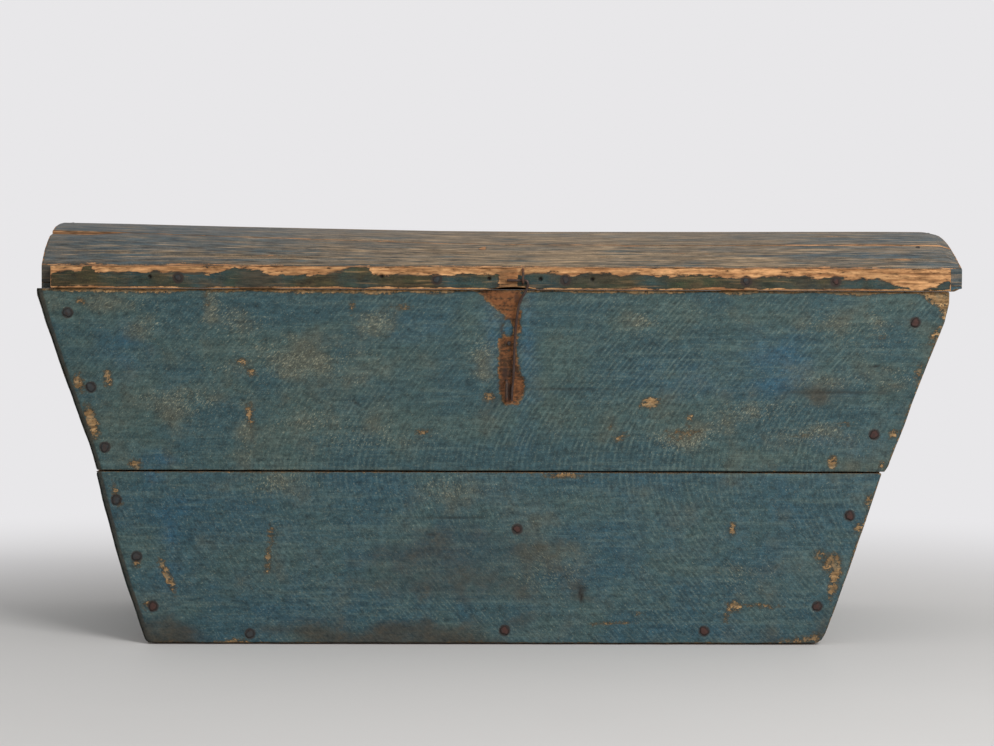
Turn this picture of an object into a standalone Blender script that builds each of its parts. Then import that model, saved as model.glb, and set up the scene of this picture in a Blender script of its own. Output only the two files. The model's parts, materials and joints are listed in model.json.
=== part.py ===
"""Old pine trunk: splayed ends, two-board walls, a domed lid on strap hinges and a wire hook.

Metres, +Z up. The front faces -Y. The origin is on the underside, below the middle of the rim.
"""
import math
from collections import namedtuple

import bmesh
import bpy
from mathutils import Matrix, Vector

# Fits
CLEAR = 0.0003
OVERCUT = 0.004
WELD = 0.000001
FLAT_ANGLE = 0.001

# Box
BOX_TOP_LENGTH = 1.095
BOX_BOTTOM_LENGTH = 0.807
BOX_BOTTOM_SHIFT = -0.0115
BOX_DEPTH = 0.380
WALL_THICKNESS = 0.022
END_THICKNESS = 0.034
LOWER_BOARD_HEIGHT = 0.208
UPPER_BOARD_HEIGHT = 0.217
BOARD_GAP = 0.002
FRONT_LOWER_SHORTFALL = 0.004
END_LOWER_HEIGHT = 0.232
END_GAP = 0.0015
BOTTOM_THICKNESS = 0.026
BOTTOM_SEAM_Y = 0.040
BOTTOM_GAP = 0.001

# Inner batten behind the front boards
BATTEN_X = 0.021
BATTEN_WIDTH = 0.055
BATTEN_THICKNESS = 0.020
BATTEN_TOP_MARGIN = 0.014

# Lid
LID_SHIFT = 0.009
LID_OVERLENGTH = 0.013
LID_GAP = 0.0006
DOME_RISE = 0.048
STAVE_COUNT = 5
STAVE_THICKNESS = 0.018
STAVE_GAP = 0.0006
STAVE_FACETS = 4
CLEAT_THICKNESS = 0.022
STRIP_HEIGHT = 0.027
STRIP_THICKNESS = 0.018
STRIP_END_INSET = 0.014
STRIP_PROUD = 0.004

# Hinges
HINGE_SPACING = 0.66
KNUCKLE_RADIUS = 0.0055
KNUCKLE_SIDES = 16
KNUCKLE_INSET = 0.0004
PIN_RADIUS = 0.0025
PIN_HEAD_RADIUS = 0.0038
PIN_HEAD_HEIGHT = 0.002
HINGE_PLATE_THICKNESS = 0.003
STRAP_WIDTH = 0.020
STRAP_LENGTH = 0.175
STRAP_WAIST = 0.013
STRAP_END_RADIUS = 0.011
STRAP_END_FACETS = 10
LEAF_LENGTH = 0.074
LEAF_TOP_MARGIN = 0.004
LEAF_KNUCKLE_LENGTH = 0.014
STRAP_NAIL_DROPS = (0.024, 0.088, STRAP_LENGTH - STRAP_END_RADIUS)
LEAF_NAIL_INSET = 0.007
LEAF_NAIL_RISE = 0.015

# Latch
STAPLE_WIRE_RADIUS = 0.0016
STAPLE_BEND_RADIUS = 0.0045
STAPLE_BEND_STEPS = 4
STAPLE_LEG_DEPTH = 0.013
WIRE_RESOLUTION = 2
LID_STAPLE_X = 0.032
LID_STAPLE_RAISE = 0.0022
LID_STAPLE_SPREAD = 0.0165
LID_STAPLE_REACH = 0.0085
BOX_STAPLE_X = 0.0130
BOX_STAPLE_SPREAD = 0.0240
BOX_STAPLE_REACH = 0.0080
HOOK_WIRE_RADIUS = 0.0016
HOOK_STEPS = 3
SMOOTH_ANGLE = math.radians(50)
# Hook route from its pointed tail, as (x, drop below the pivot, share of the lean to the front board)
HOOK_ROUTE = (
    (0.0130, 0.0000, 0.00),
    (0.0250, 0.0000, 0.00),
    (0.0345, 0.0000, 0.00),
    (0.0376, 0.0025, 0.02),
    (0.0376, 0.0070, 0.05),
    (0.0350, 0.0135, 0.10),
    (0.0290, 0.0240, 0.18),
    (0.0258, 0.0380, 0.28),
    (0.0236, 0.0560, 0.41),
    (0.0224, 0.0760, 0.55),
    (0.0217, 0.1000, 0.72),
    (0.0210, 0.1180, 0.85),
    (0.0197, 0.1300, 0.94),
    (0.0193, 0.1445, 1.00),
)
HOOK_END_BELOW_STAPLE_LEG = 0.0010

# Nails: a low head on a tapered shank
Nail = namedtuple("Nail", "head_radius head_height shank_radius tip_radius length")
NAIL_SIDES = 6
NAIL_TIP_COVER = 0.004
STRIP_NAIL_BITE = 0.008
WALL_NAIL = Nail(0.0058, 0.0026, 0.0023, 0.0011, 0.055)
BATTEN_NAIL = Nail(0.0050, 0.0022, 0.0020, 0.0011, WALL_THICKNESS + BATTEN_THICKNESS - NAIL_TIP_COVER)
STRIP_NAIL = Nail(0.0045, 0.0020, 0.0016, 0.0010, STRIP_THICKNESS + STRIP_NAIL_BITE)
STRAP_NAIL = Nail(0.0048, 0.0022, 0.0017, 0.0011, HINGE_PLATE_THICKNESS + WALL_THICKNESS - NAIL_TIP_COVER)
LEAF_NAIL = Nail(0.0042, 0.0020, 0.0017, 0.0011, HINGE_PLATE_THICKNESS + STRIP_THICKNESS - NAIL_TIP_COVER)

# Nail places: (height, distance in from the sloping end) at the ends, (x, height) elsewhere
FRONT_LEFT_NAILS = (
    (0.398, 0.027), (0.309, 0.027), (0.237, 0.021),
    (0.174, 0.015), (0.106, 0.018), (0.046, 0.019),
)
FRONT_RIGHT_NAILS = ((0.390, 0.030), (0.255, 0.029), (0.157, 0.022), (0.047, 0.020))
FRONT_BOTTOM_NAILS = ((-0.294, 0.013), (0.012, 0.0175), (0.2525, 0.017))
BATTEN_NAILS = ((0.0265, 0.140), (0.0156, 0.363))
FRONT_STRIP_NAILS = (
    (-0.379, 0.0125), (-0.071, 0.0115), (0.083, 0.0120), (0.2995, 0.0110), (0.407, 0.0115),
)

# Finishes: base colour, roughness, metallic
BLUE_PAINT = ((0.070, 0.105, 0.112), 0.62, 0.0)
WORN_PAINT = ((0.190, 0.165, 0.125), 0.66, 0.0)
AGED_PINE = ((0.330, 0.205, 0.105), 0.72, 0.0)
IRON = ((0.062, 0.050, 0.044), 0.60, 0.85)
RUSTY_IRON = ((0.085, 0.045, 0.032), 0.75, 0.60)

# Worked-out places
BOX_HEIGHT = LOWER_BOARD_HEIGHT + BOARD_GAP + UPPER_BOARD_HEIGHT
FRONT_Y = -BOX_DEPTH / 2
BACK_Y = BOX_DEPTH / 2
FRONT_INNER_Y = FRONT_Y + WALL_THICKNESS
BACK_INNER_Y = BACK_Y - WALL_THICKNESS
LID_BOTTOM_Z = BOX_HEIGHT + LID_GAP
STRIP_TOP_Z = LID_BOTTOM_Z + STRIP_HEIGHT
STRIP_FRONT_Y = FRONT_Y - STRIP_PROUD
DOME_FRONT_Y = STRIP_FRONT_Y + STRIP_THICKNESS + CLEAR
DOME_BACK_Y = BACK_Y - STRIP_THICKNESS - CLEAR
DOME_HALF = (DOME_BACK_Y - DOME_FRONT_Y) / 2
DOME_RADIUS = (DOME_HALF ** 2 + DOME_RISE ** 2) / (2 * DOME_RISE)
DOME_CENTRE = Vector(((DOME_FRONT_Y + DOME_BACK_Y) / 2, STRIP_TOP_Z + DOME_RISE - DOME_RADIUS))
DOME_ANGLE = math.asin(DOME_HALF / DOME_RADIUS)
LID_LENGTH = BOX_TOP_LENGTH + LID_OVERLENGTH
LID_LEFT_X = LID_SHIFT - LID_LENGTH / 2
LID_RIGHT_X = LID_SHIFT + LID_LENGTH / 2
HINGE_Y = BACK_Y + CLEAR + KNUCKLE_RADIUS + KNUCKLE_INSET
HINGE_Z = BOX_HEIGHT + LID_GAP / 2
PIVOT_Y = STRIP_FRONT_Y - LID_STAPLE_REACH + 2 * STAPLE_WIRE_RADIUS + HOOK_WIRE_RADIUS + CLEAR
LID_STAPLE_Z = LID_BOTTOM_Z + STRIP_HEIGHT / 2 + LID_STAPLE_RAISE
PIVOT_Z = LID_STAPLE_Z - LID_STAPLE_SPREAD / 2 + STAPLE_WIRE_RADIUS + HOOK_WIRE_RADIUS + CLEAR
HOOK_REST_Y = FRONT_Y - HOOK_WIRE_RADIUS - CLEAR
HOOK_END_Z = PIVOT_Z - HOOK_ROUTE[-1][1]
BOX_STAPLE_Z = HOOK_END_Z + HOOK_END_BELOW_STAPLE_LEG + BOX_STAPLE_SPREAD / 2

# Frames that stand a flat outline upright
XZ_OUTLINE = Matrix(((1, 0, 0, 0), (0, 0, -1, 0), (0, 1, 0, 0), (0, 0, 0, 1)))
YZ_OUTLINE = Matrix(((0, 0, 1, 0), (1, 0, 0, 0), (0, 1, 0, 0), (0, 0, 0, 1)))


def clear_scene():
    for old in list(bpy.data.objects):
        bpy.data.objects.remove(old, do_unlink=True)


def new_collection(name):
    collection = bpy.data.collections.new(name)
    bpy.context.scene.collection.children.link(collection)
    return collection


def finish(part, look):
    colour, roughness, metallic = look
    material = bpy.data.materials.new(part.name + "_finish")
    material.use_nodes = True
    shader = material.node_tree.nodes["Principled BSDF"]
    shader.inputs["Base Color"].default_value = (*colour, 1)
    shader.inputs["Roughness"].default_value = roughness
    shader.inputs["Metallic"].default_value = metallic
    part.data.materials.clear()
    part.data.materials.append(material)


def keep(part, look, parent=None):
    PARTS.objects.link(part)
    finish(part, look)
    if parent:
        part.parent = parent
        part.matrix_parent_inverse = parent.matrix_world.inverted()
    return part


def welded_mesh(name, guide):
    """Turn a curve or a modified guide into a closed mesh and remove the guide."""
    bpy.context.scene.collection.objects.link(guide)
    bpy.context.view_layer.update()
    graph = bpy.context.evaluated_depsgraph_get()
    mesh = bpy.data.meshes.new_from_object(guide.evaluated_get(graph))
    mesh.name = name
    bpy.data.objects.remove(guide, do_unlink=True)
    shape = bmesh.new()
    shape.from_mesh(mesh)
    bmesh.ops.remove_doubles(shape, verts=shape.verts, dist=WELD)
    bmesh.ops.dissolve_limit(shape, angle_limit=FLAT_ANGLE, verts=shape.verts, edges=shape.edges)
    bmesh.ops.recalc_face_normals(shape, faces=shape.faces)
    shape.to_mesh(mesh)
    shape.free()
    return mesh


def outline_part(name, outline, near, far, frame):
    """Extrude a flat outline between two places along the frame's third axis."""
    curve = bpy.data.curves.new(name, "CURVE")
    curve.dimensions = "2D"
    curve.fill_mode = "BOTH"
    curve.extrude = (far - near) / 2
    spline = curve.splines.new("POLY")
    spline.points.add(len(outline) - 1)
    for point, place in zip(spline.points, outline):
        point.co = (place[0], place[1], 0, 1)
    spline.use_cyclic_u = True
    mesh = welded_mesh(name, bpy.data.objects.new(name, curve))
    part = bpy.data.objects.new(name, mesh)
    part.matrix_world = frame @ Matrix.Translation((0, 0, (near + far) / 2))
    return part


def board_across(name, outline, front, back):
    """A board whose XZ outline runs from y = front to y = back."""
    return outline_part(name, outline, -back, -front, XZ_OUTLINE)


def board_along(name, outline, left, right):
    """A board whose YZ outline runs from x = left to x = right."""
    return outline_part(name, outline, left, right, YZ_OUTLINE)


def rectangle(low_u, high_u, low_v, high_v):
    return ((low_u, low_v), (high_u, low_v), (high_u, high_v), (low_u, high_v))


def wire_part(name, points, radius):
    curve = bpy.data.curves.new(name, "CURVE")
    curve.dimensions = "3D"
    curve.bevel_depth = radius
    curve.bevel_resolution = WIRE_RESOLUTION
    curve.use_fill_caps = True
    spline = curve.splines.new("POLY")
    spline.points.add(len(points) - 1)
    for point, place in zip(spline.points, points):
        point.co = (*place, 1)
    mesh = welded_mesh(name, bpy.data.objects.new(name, curve))
    mesh.shade_smooth()
    mesh.set_sharp_from_angle(angle=SMOOTH_ANGLE)
    return bpy.data.objects.new(name, mesh)


def turned_mesh(name, profile, sides):
    """Turn a profile that runs from the top of the axis to its bottom."""
    mesh = bpy.data.meshes.new(name)
    points = [(radius, 0, height) for radius, height in profile]
    mesh.from_pydata(points, [(i, i + 1) for i in range(len(points) - 1)], [])
    guide = bpy.data.objects.new(name, mesh)
    turn = guide.modifiers.new("turn", "SCREW")
    turn.steps = sides
    turn.render_steps = sides
    turn.use_merge_vertices = True
    turn.merge_threshold = WELD
    return welded_mesh(name, guide)


def tube_mesh(length, radius, sides):
    shape = bmesh.new()
    bmesh.ops.create_cone(
        shape, cap_ends=True, segments=sides, radius1=radius, radius2=radius, depth=length
    )
    mesh = bpy.data.meshes.new("tube")
    shape.to_mesh(mesh)
    shape.free()
    return mesh


def merged(name, mesh, places):
    """One object with a separate copy of the mesh at each place."""
    shape = bmesh.new()
    for place in places:
        first = len(shape.verts)
        shape.from_mesh(mesh)
        shape.verts.ensure_lookup_table()
        bmesh.ops.transform(shape, matrix=place, verts=shape.verts[first:])
    joined = bpy.data.meshes.new(name)
    shape.to_mesh(joined)
    shape.free()
    return bpy.data.objects.new(name, joined)


def cutter(part):
    part.hide_render = True
    part.display_type = "WIRE"
    CUTTERS.objects.link(part)
    return part


def boolean(part, other, operation):
    change = part.modifiers.new(operation.lower(), "BOOLEAN")
    change.operation = operation
    change.solver = "EXACT"
    change.object = other


def hole_radius(radius, sides):
    """Radius of a faceted hole that clears a round of the given radius."""
    return (radius + CLEAR) / math.cos(math.pi / sides)


def nails(name, kind, places, through, parent=None):
    """Like nails, numbered from one, with their holes cut through the boards they hold."""
    profile = (
        (0, kind.head_height),
        (kind.head_radius, 0),
        (kind.shank_radius, 0),
        (kind.tip_radius, -kind.length),
        (0, -kind.length),
    )
    one = turned_mesh(name, profile, NAIL_SIDES)
    for number, place in enumerate(places, start=1):
        nail = bpy.data.objects.new(f"{name}_{number}", one.copy())
        nail.matrix_world = place
        keep(nail, RUSTY_IRON, parent)
    hole = tube_mesh(kind.length + OVERCUT, hole_radius(kind.shank_radius, NAIL_SIDES), NAIL_SIDES)
    sunk = Matrix.Translation((0, 0, (OVERCUT - kind.length) / 2 - CLEAR))
    holes = cutter(merged(name + "_holes", hole, [place @ sunk for place in places]))
    for board in through:
        boolean(board, holes, "DIFFERENCE")


def facing_front(x, z, surface_y):
    return Matrix.Translation((x, surface_y - CLEAR, z)) @ Matrix.Rotation(math.pi / 2, 4, "X")


def facing_back(x, z, surface_y):
    return Matrix.Translation((x, surface_y + CLEAR, z)) @ Matrix.Rotation(-math.pi / 2, 4, "X")


# Box

def edge_x(side, z):
    """Outer face of the left (-1) or right (+1) end at a height."""
    bottom = BOX_BOTTOM_SHIFT + side * BOX_BOTTOM_LENGTH / 2
    top = side * BOX_TOP_LENGTH / 2
    return bottom + (top - bottom) * z / BOX_HEIGHT


def level_width(side, thickness):
    """A thickness square to the leaning end, measured level."""
    lean = math.atan((edge_x(side, BOX_HEIGHT) - edge_x(side, 0)) / BOX_HEIGHT)
    return thickness / math.cos(lean)


def inner_x(side, z, gap=0.0):
    return edge_x(side, z) - side * level_width(side, END_THICKNESS + gap)


def wall_outline(low, high, right_shortfall=0.0):
    return (
        (edge_x(-1, low), low),
        (edge_x(1, low), low),
        (edge_x(1, high) - right_shortfall, high),
        (edge_x(-1, high), high),
    )


def make_walls():
    upper_low = LOWER_BOARD_HEIGHT + BOARD_GAP
    walls = {}
    for wall, near, far, shortfall in (
        ("front", FRONT_Y, FRONT_INNER_Y, FRONT_LOWER_SHORTFALL),
        ("back", BACK_INNER_Y, BACK_Y, 0.0),
    ):
        low_outline = wall_outline(0, LOWER_BOARD_HEIGHT, shortfall)
        high_outline = wall_outline(upper_low, BOX_HEIGHT)
        lower = board_across(f"{wall}_lower_board", low_outline, near, far)
        upper = board_across(f"{wall}_upper_board", high_outline, near, far)
        walls[wall] = [keep(lower, BLUE_PAINT), keep(upper, BLUE_PAINT)]
    return walls


def make_ends():
    ends = {}
    levels = (("lower", 0, END_LOWER_HEIGHT), ("upper", END_LOWER_HEIGHT + END_GAP, BOX_HEIGHT))
    for side, word in ((-1, "left"), (1, "right")):
        ends[side] = []
        for level, low, high in levels:
            outline = (
                (edge_x(side, low), low),
                (edge_x(side, high), high),
                (inner_x(side, high), high),
                (inner_x(side, low), low),
            )
            name = f"{word}_end_{level}_board"
            board = board_across(name, outline, FRONT_INNER_Y + CLEAR, BACK_INNER_Y - CLEAR)
            ends[side].append(keep(board, BLUE_PAINT))
    return ends


def make_bottom():
    outline = (
        (inner_x(-1, 0, CLEAR), 0),
        (inner_x(1, 0, CLEAR), 0),
        (inner_x(1, BOTTOM_THICKNESS, CLEAR), BOTTOM_THICKNESS),
        (inner_x(-1, BOTTOM_THICKNESS, CLEAR), BOTTOM_THICKNESS),
    )
    front = board_across("bottom_front_board", outline, FRONT_INNER_Y + CLEAR, BOTTOM_SEAM_Y)
    rear = board_across("bottom_rear_board", outline, BOTTOM_SEAM_Y + BOTTOM_GAP, BACK_INNER_Y - CLEAR)
    keep(rear, AGED_PINE)
    return keep(front, AGED_PINE)


def make_batten():
    outline = rectangle(
        BATTEN_X - BATTEN_WIDTH / 2,
        BATTEN_X + BATTEN_WIDTH / 2,
        BOTTOM_THICKNESS + CLEAR,
        BOX_HEIGHT - BATTEN_TOP_MARGIN,
    )
    near = FRONT_INNER_Y + CLEAR
    return keep(board_across("front_inner_batten", outline, near, near + BATTEN_THICKNESS), AGED_PINE)


def make_box():
    walls = make_walls()
    ends = make_ends()
    bottom_front = make_bottom()
    batten = make_batten()
    for side, word, front_places in ((-1, "left", FRONT_LEFT_NAILS), (1, "right", FRONT_RIGHT_NAILS)):
        front = [facing_front(edge_x(side, z) - side * inset, z, FRONT_Y) for z, inset in front_places]
        nails(f"front_{word}_nail", WALL_NAIL, front, walls["front"] + ends[side])
    front_lower, front_upper = walls["front"]
    low_front = [facing_front(x, z, FRONT_Y) for x, z in FRONT_BOTTOM_NAILS]
    nails("front_bottom_nail", WALL_NAIL, low_front, (front_lower, bottom_front))
    middle = [facing_front(x, z, FRONT_Y) for x, z in BATTEN_NAILS]
    nails("batten_nail", BATTEN_NAIL, middle, (front_lower, front_upper, batten))
    return front_upper, walls["back"][1]


# Lid

def dome_point(angle, radius):
    return (
        DOME_CENTRE.x + radius * math.sin(angle),
        DOME_CENTRE.y + radius * math.cos(angle),
    )


def underside(index, gap=0.0):
    """Corner of the flat undersides at a stave joint, or at the vertical front or back edge."""
    angle = -DOME_ANGLE + 2 * DOME_ANGLE * index / STAVE_COUNT
    if 0 < index < STAVE_COUNT:
        return dome_point(angle, DOME_RADIUS - STAVE_THICKNESS - gap)
    y, z = dome_point(angle, DOME_RADIUS)
    return (y, z - (STAVE_THICKNESS + gap) / math.cos(DOME_ANGLE))


def stave_outline(index):
    """Section of one stave: an arc on top, a flat below and radial joints."""
    step = 2 * DOME_ANGLE / STAVE_COUNT
    start = -DOME_ANGLE + index * step
    half_gap = STAVE_GAP / 2 / DOME_RADIUS
    first = start + (half_gap if index > 0 else 0)
    last = start + step - (half_gap if index < STAVE_COUNT - 1 else 0)
    top = [
        dome_point(first + (last - first) * i / STAVE_FACETS, DOME_RADIUS)
        for i in range(STAVE_FACETS + 1)
    ]
    low_left = Vector(underside(index))
    low_right = Vector(underside(index + 1))
    along = (low_right - low_left).normalized() * STAVE_GAP / 2
    if index > 0:
        low_left += along
    if index < STAVE_COUNT - 1:
        low_right -= along
    return top + [tuple(low_right), tuple(low_left)]


def cleat_outline():
    top = [underside(i, CLEAR) for i in range(STAVE_COUNT + 1)]
    return top + [(DOME_BACK_Y, LID_BOTTOM_Z), (DOME_FRONT_Y, LID_BOTTOM_Z)]


def make_lid(axis):
    words = ("front", "front_middle", "crest", "rear_middle", "rear")
    staves = []
    for index in range(STAVE_COUNT):
        word = words[index] if STAVE_COUNT == len(words) else str(index + 1)
        stave = board_along(f"lid_stave_{word}", stave_outline(index), LID_LEFT_X, LID_RIGHT_X)
        staves.append(keep(stave, WORN_PAINT, axis))
    strip_left = LID_LEFT_X + STRIP_END_INSET
    strip_right = LID_RIGHT_X - STRIP_END_INSET
    strip_section = rectangle(STRIP_FRONT_Y, STRIP_FRONT_Y + STRIP_THICKNESS, LID_BOTTOM_Z, STRIP_TOP_Z)
    rail_section = rectangle(BACK_Y - STRIP_THICKNESS, BACK_Y, LID_BOTTOM_Z, STRIP_TOP_Z)
    strip = keep(board_along("lid_front_strip", strip_section, strip_left, strip_right), WORN_PAINT, axis)
    rail = keep(board_along("lid_back_rail", rail_section, strip_left, strip_right), BLUE_PAINT, axis)
    for word, outer, inward in (("left", LID_LEFT_X, 1), ("right", LID_RIGHT_X, -1)):
        faces = sorted((outer, outer + inward * CLEAT_THICKNESS))
        keep(board_along(f"lid_{word}_cleat", cleat_outline(), *faces), BLUE_PAINT, axis)
    front = [facing_front(x, LID_BOTTOM_Z + rise, STRIP_FRONT_Y) for x, rise in FRONT_STRIP_NAILS]
    nails("lid_strip_nail", STRIP_NAIL, front, (strip, staves[0]), axis)
    return strip, rail


# Hinges

def strap_outline(x):
    """Strap that narrows to a waist and ends in a round pad."""
    pad_z = HINGE_Z - STRAP_LENGTH + STRAP_END_RADIUS
    pad = []
    start = math.asin(STRAP_WAIST / 2 / STRAP_END_RADIUS)
    for i in range(STRAP_END_FACETS + 1):
        angle = start + (2 * math.pi - 2 * start) * i / STRAP_END_FACETS
        pad.append((x + STRAP_END_RADIUS * math.sin(angle), pad_z + STRAP_END_RADIUS * math.cos(angle)))
    top = HINGE_Z - KNUCKLE_INSET
    return [(x - STRAP_WIDTH / 2, top), (x + STRAP_WIDTH / 2, top)] + pad


def leaf_plate(name, x, near, far):
    """Cross leaf with a notch for the strap's knuckle and a tab at each of its own."""
    half = LEAF_LENGTH / 2
    inner = STRAP_WIDTH / 2 + CLEAR
    outer = inner + LEAF_KNUCKLE_LENGTH
    low = HINGE_Z + KNUCKLE_INSET
    shoulder = HINGE_Z + KNUCKLE_RADIUS + 2 * CLEAR
    outline = rectangle(x - half, x + half, low, STRIP_TOP_Z - LEAF_TOP_MARGIN)
    plate = board_across(name, outline, near, far)
    spans = ((x - half - OVERCUT, x - outer), (x - inner, x + inner), (x + outer, x + half + OVERCUT))
    for number, (left, right) in enumerate(spans):
        notch = rectangle(left, right, low - OVERCUT, shoulder)
        block = board_across(f"{name}_notch_{number}", notch, near - OVERCUT, far + OVERCUT)
        boolean(plate, cutter(block), "DIFFERENCE")
    return plate


def along_x(x):
    return Matrix.Translation((x, HINGE_Y, HINGE_Z)) @ Matrix.Rotation(math.pi / 2, 4, "Y")


def knuckles(plate, name, spans):
    """Join knuckle rounds to a plate and bore them for the pin."""
    for number, (left, right) in enumerate(spans):
        ring = merged(
            f"{name}_knuckle_{number}",
            tube_mesh(right - left - 2 * KNUCKLE_INSET, KNUCKLE_RADIUS, KNUCKLE_SIDES),
            [along_x((left + right) / 2)],
        )
        boolean(plate, cutter(ring), "UNION")
    low = min(left for left, _ in spans)
    high = max(right for _, right in spans)
    bore = merged(
        name + "_bore",
        tube_mesh(high - low + 2 * OVERCUT, hole_radius(PIN_RADIUS, KNUCKLE_SIDES), KNUCKLE_SIDES),
        [along_x((low + high) / 2)],
    )
    boolean(plate, cutter(bore), "DIFFERENCE")


def make_hinges(back_board, rail, axis):
    near = BACK_Y + CLEAR
    far = near + HINGE_PLATE_THICKNESS
    strap_places = []
    leaf_places = []
    straps = []
    leaves = []
    for word, side in (("left", -1), ("right", 1)):
        x = LID_SHIFT + side * HINGE_SPACING / 2
        inner = STRAP_WIDTH / 2 + CLEAR
        outer = inner + LEAF_KNUCKLE_LENGTH
        strap = board_across(f"hinge_{word}_strap", strap_outline(x), near, far)
        straps.append(keep(strap, IRON))
        knuckles(strap, strap.name, ((x - STRAP_WIDTH / 2, x + STRAP_WIDTH / 2),))
        leaf = leaf_plate(f"hinge_{word}_leaf", x, near, far)
        leaves.append(keep(leaf, IRON, axis))
        knuckles(leaf, leaf.name, ((x - outer, x - inner), (x + inner, x + outer)))
        pin_length = 2 * outer
        profile = (
            (0, PIN_HEAD_HEIGHT),
            (PIN_HEAD_RADIUS, PIN_HEAD_HEIGHT),
            (PIN_HEAD_RADIUS, 0),
            (PIN_RADIUS, 0),
            (PIN_RADIUS, -pin_length),
            (0, -pin_length),
        )
        pin = turned_mesh(f"hinge_{word}_pin", profile, KNUCKLE_SIDES)
        keep(merged(f"hinge_{word}_pin", pin, [along_x(x + outer + CLEAR)]), IRON)
        strap_places += [facing_back(x, HINGE_Z - drop, far) for drop in STRAP_NAIL_DROPS]
        for leaf_side in (-1, 1):
            nail_x = x + leaf_side * (LEAF_LENGTH / 2 - LEAF_NAIL_INSET)
            leaf_places.append(facing_back(nail_x, HINGE_Z + LEAF_NAIL_RISE, far))
    nails("hinge_strap_nail", STRAP_NAIL, strap_places, straps + [back_board])
    nails("hinge_leaf_nail", LEAF_NAIL, leaf_places, leaves + [rail], axis)


# Latch

def staple_points(x, z, surface_y, spread, reach):
    """Upright staple: lower leg, bend, crown, bend and upper leg."""
    leg_y = surface_y + STAPLE_LEG_DEPTH
    bend_y = surface_y - reach + STAPLE_WIRE_RADIUS + STAPLE_BEND_RADIUS
    points = [Vector((x, leg_y, z - spread / 2))]
    for corner, first_angle in ((-1, 0.0), (1, math.pi / 2)):
        centre_z = z + corner * (spread / 2 - STAPLE_BEND_RADIUS)
        for i in range(STAPLE_BEND_STEPS + 1):
            angle = first_angle + math.pi / 2 * i / STAPLE_BEND_STEPS
            points.append(
                Vector((
                    x,
                    bend_y - STAPLE_BEND_RADIUS * math.sin(angle),
                    centre_z - STAPLE_BEND_RADIUS * math.cos(angle),
                ))
            )
    points.append(Vector((x, leg_y, z + spread / 2)))
    return points


def make_staple(name, x, z, surface_y, spread, reach, board, parent=None):
    keep(
        wire_part(name, staple_points(x, z, surface_y, spread, reach), STAPLE_WIRE_RADIUS),
        IRON,
        parent,
    )
    length = STAPLE_LEG_DEPTH + OVERCUT
    sides = 2 * (WIRE_RESOLUTION + 2)
    hole = tube_mesh(length, hole_radius(STAPLE_WIRE_RADIUS, sides), sides)
    middle_y = surface_y + STAPLE_LEG_DEPTH + CLEAR - length / 2
    places = [
        Matrix.Translation((x, middle_y, z + half)) @ Matrix.Rotation(math.pi / 2, 4, "X")
        for half in (-spread / 2, spread / 2)
    ]
    boolean(board, cutter(merged(name + "_holes", hole, places)), "DIFFERENCE")


def smooth_route(points, steps):
    """Points along a Catmull-Rom curve through the given places."""
    route = []
    for i in range(len(points) - 1):
        before = points[max(i - 1, 0)]
        start, end = points[i], points[i + 1]
        after = points[min(i + 2, len(points) - 1)]
        for k in range(steps):
            t = k / steps
            route.append(
                0.5 * (
                    2 * start
                    + (end - before) * t
                    + (2 * before - 5 * start + 4 * end - after) * t ** 2
                    + (3 * start - before - 3 * end + after) * t ** 3
                )
            )
    return route + [points[-1]]


def make_latch(strip, front_board, lid_axis, hook_axis):
    make_staple(
        "lid_staple", LID_STAPLE_X, LID_STAPLE_Z, STRIP_FRONT_Y,
        LID_STAPLE_SPREAD, LID_STAPLE_REACH, strip, lid_axis,
    )
    make_staple(
        "box_staple", BOX_STAPLE_X, BOX_STAPLE_Z, FRONT_Y,
        BOX_STAPLE_SPREAD, BOX_STAPLE_REACH, front_board,
    )
    places = [
        Vector((x, PIVOT_Y + (HOOK_REST_Y - PIVOT_Y) * lean, PIVOT_Z - drop))
        for x, drop, lean in HOOK_ROUTE
    ]
    keep(wire_part("latch_hook", smooth_route(places, HOOK_STEPS), HOOK_WIRE_RADIUS), IRON, hook_axis)


def make_axis(name, place, parent=None):
    """Empty on a joint's axis, which carries the pieces that turn about it."""
    axis = bpy.data.objects.new(name, None)
    axis.location = place
    PARTS.objects.link(axis)
    bpy.context.view_layer.update()
    if parent:
        axis.parent = parent
        axis.matrix_parent_inverse = parent.matrix_world.inverted()
        bpy.context.view_layer.update()
    return axis


clear_scene()
PARTS = new_collection("storage_trunk")
CUTTERS = new_collection("cutters")
lid_turns = make_axis("lid_axis", (LID_SHIFT, HINGE_Y, HINGE_Z))
hook_turns = make_axis("hook_axis", (LID_STAPLE_X, PIVOT_Y, PIVOT_Z), lid_turns)
front_upper_board, back_upper_board = make_box()
front_strip, back_rail = make_lid(lid_turns)
make_hinges(back_upper_board, back_rail, lid_turns)
make_latch(front_strip, front_upper_board, lid_turns, hook_turns)
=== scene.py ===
"""Looks of an old painted pine trunk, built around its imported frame.

Metres, +Z up, the front faces -Y. Each board is a dense mesh in the place of its solid, with worn
edges, splits, chips and a slight warp. Wear is kept in point attributes that the materials read.
"""
import json
import math
from collections import namedtuple

import bmesh
import bpy
import numpy as np
from mathutils import Matrix, Vector


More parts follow.
